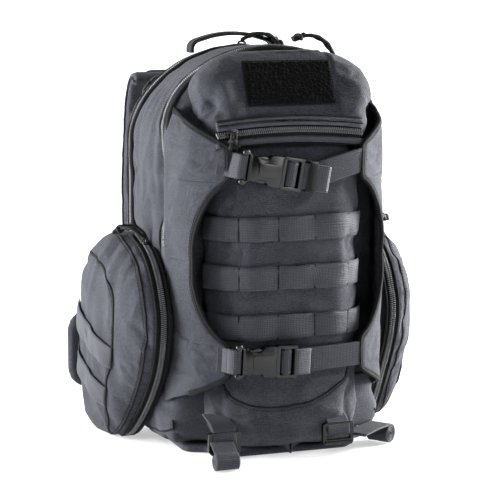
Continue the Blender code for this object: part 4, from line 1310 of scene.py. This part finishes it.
def dress(obj, place, mats, body, nodes):
    obj.data.transform(place)
    obj.data.materials.clear()
    obj.data.materials.append(mats["buckle_plastic"])
    return place_piece(obj, body, nodes)


def make_socket(name, place, mats, body):
    """A side-release buckle's case: a webbing bar between two horns, waisted windows, and a hollow mouth."""
    thick = 0.0055

    def slim(x):
        return 0.52 + 0.48 * min(max((x - 0.0095) / 0.006, 0), 1)

    holes = [(rounded(0.0042, 0.0082, -0.0132, 0.0132), -0.02, 0.02),
             (rounded(0.0132, 0.0600, -0.0144, 0.0144), -thick + 0.0018, thick - 0.0018)]
    case = plate(name, both_ways(SOCKET_EDGE), -thick, thick, holes, 0.0012, slim)
    dress(case, place, mats, body, [name])
    panel = plate(name + "_panel", rounded(0.0185, 0.0400, -0.0072, 0.0072, 0.0022, 4), -thick - 0.0005,
                  -thick + 0.0004, (), 0.0004)
    dress(panel, place, mats, body, [name])
    for sign in (-1, 1):
        knob = plate(f"{name}_horn_{'low' if sign < 0 else 'high'}",
                     arc(0.0034, sign * 0.0148, 0.0036, 0, 345, 15), -0.0052, 0.0040, (), 0.0018)
        dress(knob, place, mats, body, [name])


def make_plug(name, place, mats, body):
    """The plug: a ladder frame with a round middle bar, a guide tongue and two sprung arms with thumb buttons."""
    start, end = SOCKET_LENGTH + 0.0003, SOCKET_LENGTH + PLUG_BASE
    upper = [(start, 0.0148), (start + 0.0010, 0.0162), (start + 0.0030, 0.0165), (end - 0.0018, 0.0167),
             (end - 0.0004, 0.0162), (end, 0.0148)]
    holes = [(rounded(start + 0.0040, start + 0.0083, -0.0134, 0.0134), -0.02, 0.02),
             (rounded(end - 0.0080, end - 0.0036, -0.0134, 0.0134), -0.02, 0.02)]
    dress(plate(name, both_ways(upper), -0.0048, 0.0040, holes, 0.0013), place, mats, body, [name])
    inside = 0.0031
    tongue = plate(name + "_tongue", rounded(0.0180, start + 0.001, -0.0022, 0.0022, 0.0012), -inside,
                   inside, (), 0.0005)
    dress(tongue, place, mats, body, [name])
    for sign in (-1, 1):
        arm = [(start + 0.001, 0.0088), (0.0330, 0.0094), (0.0290, 0.0084), (0.0200, 0.0078),
               (0.0168, 0.0088),
               (0.0160, 0.0108), (0.0172, 0.0124), (0.0205, 0.0134), (0.0245, 0.0137), (0.0278, 0.0128),
               (0.0300, 0.0126), (0.0340, 0.0132), (start + 0.001, 0.0136)]
        spring = plate(f"{name}_arm_{'low' if sign < 0 else 'high'}", [(x, z * sign) for x, z in arm],
                       -inside, inside, (), 0.0007)
        dress(spring, place, mats, body, [name])


def local_strap(name, place, path, mats, body, nodes=(), width=WEBBING, thick=WEBBING_THICK,
                mat=None,
                step=0.0012):
    """Webbing along a path of (x, y) in a buckle's own axes, its width along the buckle's height."""
    spots = resample(smooth_path([Vector((x, y, 0)) for x, y in path], 8), step)
    ups = [Vector((-w.y, w.x, 0)) for w in tangents(spots)]
    mesh = strap_mesh(name, spots, ups, width, thick)
    mesh.transform(place)
    return place_piece(add(name, mesh, mat or mats["webbing"]), body, nodes)


def make_front_buckles(mats):
    for level, (x, z, droop, wing_z) in BUCKLES.items():
        place = Matrix.Translation((x, BUCKLE_Y, z)) @ Matrix.Rotation(droop, 4, "Y")
        plug_body = f"{level}_plug"
        make_socket(f"{level}_buckle_socket", place, mats, "pack")
        make_plug(f"{level}_buckle_plug", place, mats, plug_body)
        back = place.inverted()
        start = back @ Vector((-0.0830, -0.1085, z))
        loop = [(start.x, start.y), (start.x + 0.009, start.y - 0.0036), (-0.0050, 0.0034),
                (-0.0020, -0.0018),
                (0.0008, -0.0031), (0.0036, -0.0031), (0.0058, -0.0016), (0.0064, 0.0010), (0.0050, 0.0030),
                (0.0010, 0.0042), (-0.0050, 0.0056), (start.x + 0.003, start.y + 0.0018)]
        local_strap(f"{level}_socket_webbing", place, loop, mats, "pack", nodes=[f"{level}_socket_strap"])
        end = SOCKET_LENGTH + PLUG_BASE
        bar = [(end + 0.0020, 0.0052), (end - 0.0030, 0.0050), (end - 0.0056, 0.0010),
               (end - 0.0075, -0.0040),
               (end - 0.0110, -0.0058), (end - 0.0146, -0.0042), (end - 0.0168, 0.0010),
               (end - 0.0150, 0.0058),
               (end - 0.0060, 0.0068), (end + 0.0020, 0.0070)]
        local_strap(f"{level}_plug_loop", place, bar, mats, plug_body, thick=0.0018)
        across = place.to_3x3() @ Vector((0, 0, 1))
        run = smooth_path([place @ Vector((end - 0.0010, 0.0053, 0)),
                           place @ Vector((end + 0.010, 0.0044, 0)),
                           (place @ Vector((end + 0.010, 0.0030, 0))).lerp(Vector((0.0660, -0.1172,
                                                                                   wing_z)), 0.55),
                           Vector((0.0660, -0.1168, wing_z)), Vector((0.0730, -0.1130, wing_z)),
                           Vector((0.0810, -0.1070, wing_z))], 8)
        run = resample(run, 0.0025)
        mesh = strap_between(f"{level}_plug_webbing", run, across, WEBBING)
        strap = place_piece(add(f"{level}_plug_webbing", mesh, mats["webbing"]), "pack",
                            [f"{level}_plug_strap"])
        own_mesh(strap)
        if level == "upper":
            keeper_band(f"{level}_keeper", place, end + 0.0060, 0.0085, mats, plug_body)
            tail = [(end + 0.0010, -0.0010), (end + 0.0060, -0.0016), (end + 0.0160, -0.0030),
                    (end + 0.0250, -0.0052),
                    (end + 0.0288, -0.0034), (end + 0.0284, -0.0006), (end + 0.0245, 0.0006),
                    (end + 0.0060, 0.0010)]
        else:
            tail = [(end - 0.0030, -0.0052), (end + 0.0010, -0.0056), (end + 0.0070, -0.0044),
                    (end + 0.0125, -0.0030),
                    (end + 0.0145, -0.0016), (end + 0.0130, -0.0002), (end + 0.0060, 0.0004)]
        local_strap(f"{level}_tail", place, tail, mats, plug_body, width=WEBBING * 1.06, thick=0.0021,
                    mat=mats["tail"])


def strap_between(name, run, across, width):
    """Webbing along a run whose width stays near the given direction."""
    ups = []
    for way in tangents(run):
        up = Vector(across).cross(way).normalized()
        ups.append(up if up.y < 0 else -up)
    return strap_mesh(name, run, ups, width)


def keeper_band(name, place, x, width, mats, body):
    """An elastic band round the webbing and its tail."""
    ring = rounded(-0.0052, 0.0068, -0.0146, 0.0146, 0.0026, 4)
    rows = []
    for dx, grow in ((0, 0.0), (0.0006, 0.0006), (width / 2, 0.0010), (width - 0.0006, 0.0006), (width, 0.0)):
        rows.append([Vector((x + dx, y * (1 + grow * 60) , z * (1 + grow * 20))) for y, z in ring])
    mesh = grid_mesh(name, rows, True)
    band = add(name, mesh, mats["elastic"])
    modify(band, "SOLIDIFY", thickness=0.0010, offset=1)
    bake(band)
    band.data.transform(place)
    face_out(band.data)
    band.data.shade_smooth()
    return place_piece(band, body)


def make_ladderlock(name, place, mats, body, nodes):
    """A ladder-lock 34 mm wide: a flat frame with two slots and a raised thumb edge."""
    half, height, thick = 0.017, 0.022, 0.0026
    outline = rounded(-half, half, -height / 2, height / 2, 0.0030, 4)
    holes = [(rounded(-0.0135, 0.0135, z, z + 0.0042), -0.02, 0.02) for z in (-0.0070, 0.0030)]
    lock = plate(name + "_frame", outline, -thick, thick, holes, 0.0009)
    dress(lock, place, mats, body, nodes)
    lip = plate(name + "_lip", rounded(-0.0150, 0.0150, -height / 2 - 0.0012, -height / 2 + 0.0024, 0.0012),
                -thick - 0.0022, thick * 0.4, (), 0.0008)
    dress(lip, place, mats, body, nodes)


# ================================================================ sliders, pulls and knots

def slider_mesh(name, mat):
    """A zip slider 12 mm long on z = 0: a shouldered body, two side flanges and an open bridge."""
    body = [(0.0060, 0.0020), (0.0052, 0.0036), (0.0030, 0.0043), (0.0000, 0.0040), (-0.0035, 0.0030),
            (-0.0056, 0.0026), (-0.0060, 0.0016)]
    shell = plate(name + "_body", both_ways(body), -0.0022, 0.0, (), 0.0006)
    rail = plate(name + "_rail", both_ways([(x * 0.82, z * 0.55) for x, z in body]), -0.0030, -0.0016, (),
                 0.0004)
    turn = Matrix(((1, 0, 0), (0, 0, 1), (0, -1, 0))).to_4x4()
    for part in (shell, rail):
        part.data.transform(turn)
    arch = [Vector((-0.0040, 0, 0.0016)), Vector((-0.0036, 0, 0.0040)), Vector((-0.0012, 0, 0.0050)),
            Vector((0.0014, 0, 0.0050)), Vector((0.0040, 0, 0.0038)), Vector((0.0044, 0, 0.0016))]
    bridge = tube_mesh(name + "_bridge", smooth_path(arch, 4), 0.0011, 8, up=(0, 1, 0))
    made = joined(name, [shell.data, rail.data, bridge], mat)
    for part in (shell, rail):
        bpy.data.objects.remove(part, do_unlink=True)
    made.set_sharp_from_angle(angle=math.radians(50))
    return made


def knot_mesh(name, centre, along, out, size, mats, tails=0.007):
    """An overhand knot pulled tight, with two short cut tails."""
    along, out = Vector(along).normalized(), Vector(out).normalized()
    side = along.cross(out).normalized()
    points = []
    for i in range(36):
        a = 2 * math.pi * i / 36
        x, y, z = math.sin(a) + 2 * math.sin(2 * a), math.cos(a) - 2 * math.cos(2 * a), -math.sin(3 * a)
        points.append(Vector(centre) + along * x * size * 0.36 + side * y * size * 0.34 + out * z * size * 0.5)
    meshes = [tube_mesh("k", points + points[:2], 0.0021, 8)]
    for spread in (-1, 1):
        run = [Vector(centre) + along * 0.002 + side * spread * 0.0008,
               Vector(centre) + along * tails * 0.55 + side * spread * 0.0024 + out * 0.0006,
               Vector(centre) + along * tails + side * spread * 0.0034 - out * 0.0006]
        meshes.append(tube_mesh("t", smooth_path(run, 4), 0.0019, 8))
    return joined(name, meshes, mats["cord"])


def cord_loop(name, body, origin, along, out, shape, mats, node_name, spread=0.0030):
    """A pull: one cord through the slider's bridge, its two strands side by side to a knot."""
    along, out, origin = Vector(along).normalized(), Vector(out).normalized(), Vector(origin)
    side = along.cross(out).normalized()
    middle = resample(smooth_path([Vector((a, b, 0)) for a, b in shape], 8), 0.0022)
    spots = [origin + along * p.x + out * p.y for p in middle]
    count = len(spots) - 1

    def gap(t):
        return 0.0011 + 0.0012 * t + spread * math.sin(math.pi * min(t, 1.0)) ** 0.8

    going = [p + side * gap(i / count) + out * 0.0006 * math.sin(i) for i, p in enumerate(spots)]
    coming = [p - side * gap(i / count) + out * 0.0004 * math.cos(i) for i, p in enumerate(spots)]
    way = (spots[-1] - spots[-3]).normalized()
    turn = [spots[-1] + way * (CORD_FOLD * math.cos(a)) + side * (CORD_FOLD * math.sin(a))
            for a in (math.radians(d) for d in (60, 30, 0, -30, -60))]
    route = resample(smooth_path(going + turn + coming[::-1], 2), 0.0020)
    curve = bpy.data.curves.new(name, "CURVE")
    curve.dimensions, curve.bevel_depth, curve.bevel_resolution, curve.use_fill_caps = "3D", CORD_WIDE / 2, 3, True
    spline = curve.splines.new("POLY")
    spline.points.add(len(route) - 1)
    for target, point in zip(spline.points, route):
        target.co = (*point, 1)
    curve.materials.append(mats["cord"])
    cord = add(name, curve)
    place_piece(cord, body, [node_name])
    knot = add(name + "_knot", knot_mesh(name + "_knot", spots[-1] + way * 0.001, way, out, 0.0050, mats))
    place_piece(knot, body, [node_name])
    return cord


def make_sliders(mats):
    def put(label, origin, along, out, pull_origin, pull_along, shape, spread):
        along, out = Vector(along).normalized(), Vector(out).normalized()
        mesh = slider_mesh(f"{label}_slider_case", mats["slider_metal"])
        mesh.transform(basis(Vector(origin), along, out.cross(along), out))
        case = add(f"{label}_slider_case", mesh)
        place_piece(case, f"{label}_slider_body", [f"{label}_slider"])
        cord_loop(f"{label}_pull_cord", f"{label}_pull_body", pull_origin, pull_along, out, shape, mats,
                  f"{label}_pull", spread)

    long_arc = ((0.0, 0.0066), (0.0080, 0.0116), (0.0200, 0.0148), (0.0330, 0.0124), (0.0420, 0.0060))
    short_arc = ((0.0, 0.0066), (0.0080, 0.0088), (0.0200, 0.0092), (0.0290, 0.0072))
    for label, arch, y, degrees, way, shape in (
            ("rear_left", REAR_ARCH, REAR_ZIP_Y, 3.0, 1, long_arc),
            ("rear_right", REAR_ARCH, REAR_ZIP_Y, 24.0, 1, short_arc),
            ("main", MAIN_ARCH, MAIN_ZIP_Y, 28.0, -1, long_arc)):
        centre, radius, _ = crown_circle(arch)
        a = math.radians(degrees)
        out, along = Vector((math.sin(a), 0, math.cos(a))), Vector((math.cos(a), 0, -math.sin(a)))
        spot = Vector((radius * math.sin(a), y, centre + radius * math.cos(a)))
        put(label, spot + out * 0.0028, along, out, spot + out * 0.0025, along * way, shape, 0.0026)
    start = Vector((-0.068, PATCH_Y - 0.0022, 0.336))
    put("admin", start - Vector((0, 0.0003, 0)), (1, 0, 0), (0, -1, 0), start, (0, 0, -1),
        ((0.0, 0.0062), (0.0035, 0.0072), (0.0075, 0.0066), (0.0110, 0.0052)), 0.0006)
    for side, sign in (("left", -1), ("right", 1)):
        middle_y, middle_z, radius = SIDE_ARC
        angle = math.radians(104)
        out = Vector((0, math.cos(angle), math.sin(angle)))
        along = Vector((0, -out.z, out.y))
        point = Vector((sign * SIDE_ZIP_X, middle_y, middle_z)) + out * (radius + 0.0006)
        back = Vector((sign * 0.75, 0.55, 0.10)).normalized()
        put(f"{side}_pouch", point + out * 0.0029, along, out, point + out * 0.0026, back,
            ((0.0, 0.0064), (0.0080, 0.0128), (0.0180, 0.0158), (0.0275, 0.0118)), 0.0030)


# ================================================================ handle, straps, hip belt and back

def make_handle(mats):
    half = [(-0.0475, 0.4068), (-0.0476, 0.4115), (-0.0462, 0.4158), (-0.0425, 0.4190), (-0.0360, 0.4212),
            (-0.0240, 0.4245), (-0.0100, 0.4266)]
    points = half + [(0.0, 0.4270)] + [(-x, z) for x, z in reversed(half)]
    run = resample(smooth_path([Vector((x, 0.081, z)) for x, z in points], 6), 0.0025)
    ups = [Vector((-w.z, 0, w.x)) for w in tangents(run)]
    mesh = strap_mesh("carry_loop", run, ups, 0.0170, 0.0036)
    place_piece(add("carry_loop", mesh, mats["elastic"]), "handle", ["carry_handle"])
    for sign in (-1, 1):
        lines = [[Vector((sign * 0.0492, 0.0755, z)), Vector((sign * 0.0492, 0.0865, z))] for z in (0.4085,
                                                                                                    0.4105)]
        for number, line in enumerate(lines):
            run = resample(line, 0.003)
            stitch_row(f"handle_tack_{'l' if sign < 0 else 'r'}{number}", run,
                       [Vector((sign, 0, 0))] * len(run),
                       mats["thread"], 0.0024, "handle", -0.0002)


STRAP_PATH = ((0.1118, 0.3720), (0.1220, 0.3780), (0.1350, 0.3700), (0.1450, 0.3450), (0.1495, 0.3050),
              (0.1510, 0.2550), (0.1440, 0.1950), (0.1310, 0.1450))


def shoulder_run(sign, lift):
    """(points, normals) down the middle of a shoulder strap, lifted off its outer face's middle line."""
    points = smooth_path([Vector((0, y, z)) for y, z in STRAP_PATH], 6)
    last = len(points) - 1
    ups = [Vector((0, -w.z, w.y)) for w in tangents(points)]
    ups = [u if u.y > 0 or i < 4 else -u for i, u in enumerate(ups)]
    spots = [Vector((sign * (STRAP_X + 0.010 * (i / last) ** 2), p.y, p.z)) + u * lift
             for i, (p, u) in enumerate(zip(points, ups))]
    return spots, ups


def make_shoulder_straps(mats):
    for side, sign in (("left", -1), ("right", 1)):
        body = f"{side}_shoulder"
        spots, ups = shoulder_run(sign, 0.0)
        tree = tree_of(bpy.data.objects[f"{side}_strap_pad"])
        outer = [p + u * 0.012 for p, u in zip(spots, ups)]
        laid = lay(tree, resample(outer[5:-1], 0.004))
        run = [p for p, _ in laid]
        strip = laid_strip(f"{side}_strap_runner", tree, run, Vector((1, 0, 0)), WEBBING, 0.0004)
        place_piece(add(f"{side}_strap_runner", strip, mats["webbing"]), body)
        for edge in (-1, 1):
            line = lay(tree, [p + Vector((edge * 0.0245, 0, 0)) for p in resample(outer[4:], 0.004)], 0.0001)
            stitch_row(f"{side}_strap_stitch_{'a' if edge < 0 else 'b'}", [p for p, _ in line],
                       [n for _, n in line],
                       mats["thread"], 0.0036, body)
            rim = lay(tree, [p + Vector((edge * 0.036, 0, 0)) for p in resample(spots, 0.004)], 0.0)
            welt = tube_mesh(f"{side}_strap_welt_{'a' if edge < 0 else 'b'}", [p for p, _ in rim], 0.0016, 8)
            place_piece(add(f"{side}_strap_welt_{'a' if edge < 0 else 'b'}", welt, mats["binding"]), body)
        x = sign * (STRAP_X + 0.010)
        tilt = Matrix.Translation((0, 0.1295, 0.1425)) @ Matrix.Rotation(math.radians(-14), 4, "X")
        make_ladderlock(f"{side}_strap_lock", tilt @ Matrix.Translation((x, 0, -0.0155)) @ Matrix.Rotation(math.pi, 4, "Z"),
                        mats, body, [f"{side}_strap_ladderlock"])
        low, high = Vector((sign * 0.1155, 0.0985, 0.024)), Vector((x, 0.1220, 0.1125))
        mid = low.lerp(high, 0.5) + Vector((0, 0.004, -0.004))
        line = resample(smooth_path([low, mid, high, tilt @ Vector((x, 0.001, -0.0180))], 8), 0.004)
        ups = [w.cross(Vector((1, 0, 0))) for w in tangents(line)]
        mesh = strap_mesh(f"{side}_adjuster", line, ups, WEBBING)
        adjuster = add(f"{side}_adjuster", mesh, mats["webbing"])
        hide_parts(f"{side}_strap_webbing")
        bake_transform(adjuster)


def make_back_and_belt(mats):
    for side, sign in (("left", -1), ("right", 1)):
        body = f"{side}_hip"
        pad = tree_of(bpy.data.objects[f"{side}_hip_pad"])
        outline = rounded(0.122, 0.180, 0.047, 0.124, 0.016, 5)
        ring = [Vector((sign * x, 0.1120, z)) for x, z in outline + outline[:1]]
        laid = lay(pad, resample(ring, 0.0035))
        stitch_row(f"{side}_hip_stitches", [p for p, _ in laid], [n for _, n in laid], mats["thread"],
                   0.0036, body)
        band = laid_strip(f"{side}_hip_webbing", pad, [Vector((sign * (0.118 + 0.0036 * i), 0.112,
                                                               0.0855)) for i in range(17)],
                          Vector((0, 0, 1)), WEBBING, 0.0005)
        place_piece(add(f"{side}_hip_webbing", band, mats["webbing"]), body)
    facing = Matrix.Rotation(math.pi, 4, "Z")
    make_socket("hip_buckle_socket", Matrix.Translation((-0.120, 0.1105, 0.0855)) @ facing, mats, "left_hip")
    make_plug("hip_buckle_plug", Matrix.Translation((0.195, 0.1105, 0.0855)) @ facing, mats, "right_hip")


# ================================================================ lash straps at the foot

def rolled_route(start, centre, way, turns=3.8):
    """A lead that runs onto the top of a roll and winds in to its middle, as (points, ups) in the roll's plane."""
    way, up = Vector(way).normalized(), Vector((0, 0, 1))
    outer = centre[2] - 0.0009
    spiral = []
    steps = 26 * 4
    for i in range(steps + 1):
        share = i / steps
        a = math.pi / 2 - 2 * math.pi * turns * share
        r = outer - (outer - 0.0012) * share
        spiral.append(Vector(centre) + way * (r * math.cos(a)) + up * (r * math.sin(a)))
    lead = [Vector(start), Vector(start).lerp(spiral[0], 0.5) + up * 0.0008]
    return lead, spiral


def make_lash(mats):
    for side, middle in (("left", -0.078), ("right", 0.046)):
        place = Matrix.Translation((middle, -0.1155, 0.023))
        make_ladderlock(f"{side}_lash_lock", place, mats, "pack", [f"{side}_lash_ladderlock"])
        body = f"{side}_lash"
        if side == "left":
            start, centre, way = Vector((-0.0822, -0.1196, 0.0240)), Vector((-0.084, -0.1385,
                                                                             0.0092)), Vector((0, -1, 0))
        else:
            start, centre = Vector((0.0655, -0.1160, 0.0190)), Vector((0.1080, -0.0850, 0.0106))
            way = Vector((centre.x - start.x, centre.y - start.y, 0)).normalized()
        lead, spiral = rolled_route(start, centre, way)
        points = smooth_path(lead + [spiral[0]], 6)[:-1] + spiral
        axis = way.cross(Vector((0, 0, 1)))
        ups = [axis.cross(w) for w in tangents(points)]
        mesh = strap_mesh(f"{side}_lash_webbing", points, ups, WEBBING, 0.0019)
        place_piece(add(f"{side}_lash_webbing", mesh, mats["webbing"]), body,
                    [f"{side}_lash_strap"])
        top = place @ Vector((0, 0, 0.0095))
        feed = [Vector((top.x, -0.0820, 0.045)), Vector((top.x, -0.1060, 0.0400)),
                Vector((top.x, -0.1165, 0.0330)),
                Vector((top.x, -0.1190, 0.0250)), Vector((top.x, -0.1165, 0.0205))]
        run = resample(smooth_path(feed, 6), 0.002)
        mesh = strap_between(f"{side}_lash_feed", run, (1, 0, 0), WEBBING)
        place_piece(add(f"{side}_lash_feed", mesh, mats["webbing"]), "pack")


# ================================================================ assembly

def make_materials():
    return {
        "cordura": fabric("cordura", (0.0385, 0.0405, 0.0500)),
        # The binding is near-black, far below the cordura, so the pipings, welts and seams read as dark lines:
        # painted shade along them.
        "binding": fabric("binding", (0.0045, 0.0048, 0.0058), 0.0006, 0.03, 0.9),
        "webbing": ribbed("webbing", (0.043, 0.0450, 0.0540)),
        "tail": ribbed("tail_webbing", (0.056, 0.0585, 0.066)),
        "elastic": ribbed("elastic", (0.0055, 0.0058, 0.0068), 0.0016, 0.0010),
        "thread": fabric("thread", (0.007, 0.0074, 0.0085), 0.0004, 0.03, 0.8),
        "zip_tape": fabric("zip_tape", (0.0035, 0.0036, 0.0042), 0.0005, 0.02, 0.9),
        # The coil is painted pale grey, well above black nylon, so its teeth read as bright dots: painted highlight.
        "coil": moulded("coil_nylon", (0.150, 0.153, 0.165), 0.20, 0.9, 0.00003),
        "buckle_plastic": moulded("buckle_acetal", (0.0050, 0.0052, 0.0060), 0.20, 0.50),
        "slider_metal": moulded("slider_paint", (0.020, 0.020, 0.022), 0.22, 0.8, 0.00004, 0.6),
        "cord": braided("paracord", (0.009, 0.009, 0.010)),
        "loop_pile": pile("loop_pile", (0.005, 0.005, 0.006)),
        "back_mesh": spacer_mesh("spacer_mesh", (0.016, 0.016, 0.018)),
        "frame_plastic": moulded("frame_sheet_plastic", (0.06, 0.06, 0.062), 0.5, 0.4),
    }


def shape_shells(shells):
    """Seams, dimples and drawn-in folds that the simulation can't make, pressed into the refined shells."""
    main, front, _, _, flap, pouch = shells[:6]

    def main_push(co, no):
        fold = creases(co, (0.030, 0.016, 0.075), 1)
        side = np.clip((np.abs(co[:, 0]) - 0.085) / 0.02, 0, 1)
        fullness = 0.0050 * bump_at(co, (0.103, 0.0, 0.381), (0.045, 0.05, 0.045))
        return 0.0016 * np.clip(fold, -0.6, 1) * side + fullness

    sculpt(main, main_push)
    sculpt(front, lambda co, no: 0.0012 * creases(co, (0.03, 0.03, 0.06), 2))
    for shell in (main, front):
        co = coords(shell.data)
        co[:, 0] += np.array([waist(p) for p in co.tolist()], dtype=np.float32)
        set_coords(shell.data, co)

    def flap_push(co, no):
        patch = (np.abs(co[:, 0]) < 0.051) & (np.abs(co[:, 2] - 0.3825) < 0.030)
        fold = 0.0014 * creases(co, (0.035, 0.03, 0.022), 3)
        dent = -0.0105 * bump_at(co, (-0.086, -0.094, 0.3635), (0.013, 0.03, 0.012))
        dent += -0.0040 * bump_at(co, (-0.078, -0.100, 0.350), (0.012, 0.03, 0.009))
        ridge = 0.0034 * bump_at(co, (-0.0700, -0.098, 0.374), (0.010, 0.02, 0.014))
        right = -0.0050 * bump_at(co, (0.090, -0.092, 0.352), (0.010, 0.03, 0.012))
        return np.where(patch, 0.0, fold) + dent + ridge + right

    sculpt(flap, flap_push)

    def pouch_push(co, no):
        seam = -0.0016 * groove(co, smooth_path([Vector(p) for p in U_SEAM], 8), 0.0035)
        low = 0.0022 * bump_at(co, (0.0, -0.109, 0.034), (0.060, 0.03, 0.022))
        fold = 0.0016 * creases(co, (0.05, 0.03, 0.03), 4)
        gore = -0.0060 * groove(co, [(-0.079, -0.095, 0.086), (-0.077, -0.094, 0.050),
                                     (-0.070, -0.096, 0.022)], 0.006)
        gore += -0.0050 * groove(co, [(0.076, -0.096, 0.100), (0.066, -0.104, 0.060),
                                      (0.060, -0.104, 0.030)], 0.006)
        return seam + low + fold + gore

    sculpt(pouch, pouch_push)
    for shell, sign in zip(shells[6:8], (-1, 1)):
        def side_push(co, no, sign=sign):
            fold = 0.0015 * creases(co, (0.03, 0.022, 0.05), 5 + sign)
            free = np.clip((np.abs(co[:, 0]) - 0.137) / 0.01, 0, 1)
            return fold * free
        sculpt(shell, side_push)


def main():
    mats = make_materials()
    make_camera()
    make_studio()
    shells = [*make_body_shells(), *make_front_shells(), make_side_shell("left", -1),
              make_side_shell("right", 1)]
    extras = []
    for side in ("left", "right"):
        extras.append((soft_copy(f"{side}_strap_pad", f"{side}_shoulder_strap", 0.004,
                                 lambda co: (co[:, 1] < 0.1085) * 1.0, 0.0022, 0.02, 2.0), f"{side}_shoulder",
                       "cordura", [f"{side}_shoulder_strap"]))
        extras.append((soft_copy(f"{side}_hip_pad", f"{side}_hip_wing", 0.003,
                                 lambda co: (np.abs(co[:, 0]) < 0.113) * 1.0, 0.0025, 0.02, 2.0),
                                 f"{side}_hip",
                       "cordura", [f"{side}_hip_wing"]))
    extras.append((soft_copy("back_panel_pad", "back_pad", 0.004, lambda co: (co[:, 1] < 0.1) * 1.0, 0.0014,
                             0.02, 2.0),
                   "pack", "back_mesh", ["back_pad"]))
    wings = [(side, sign, make_wing_sheet(side, sign)) for side, sign in (("left", -1), ("right", 1))]
    swell()
    replaced = ("main_compartment", "front_compartment", "rear_compartment", "base_panel", "admin_pocket",
                "front_pouch", "left_side_pouch", "right_side_pouch")
    for shell in shells + [e[0] for e in extras]:
        refine(shell)
    shape_shells(shells)
    for shell, node_name in zip(shells, replaced):
        shell.data.materials.clear()
        shell.data.materials.append(mats["cordura"])
        place_piece(shell, "pack", [node_name])
    for shell, body, slot, nodes in extras:
        shell.data.materials.clear()
        shell.data.materials.append(mats[slot])
        place_piece(shell, body, nodes)
    pouch_tree = tree_of(shells[5])
    make_compartment_zips(mats, {"main": tree_of(shells[1]), "rear": tree_of(shells[0]),
                                 "rear_edge": tree_of(shells[2])})
    make_admin_zip(mats)
    make_side_trim("left", -1, mats, tree_of(shells[6]))
    make_side_trim("right", 1, mats, tree_of(shells[7]))
    make_molle(mats, pouch_tree)
    make_pouch_seam(mats, pouch_tree)
    body_tree = tree_of(shells[0], shells[1])
    make_gore("left", -1, mats, body_tree)
    make_gore("right", 1, mats, body_tree)
    make_loop_patch(mats)
    for side, sign, sheet in wings:
        finish_wing(side, sign, sheet, mats)
    make_front_buckles(mats)
    make_sliders(mats)
    make_handle(mats)
    make_shoulder_straps(mats)
    make_back_and_belt(mats)
    make_lash(mats)
    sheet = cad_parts["frame_sheet"]
    sheet.data.materials.clear()
    sheet.data.materials.append(mats["frame_plastic"])


main()
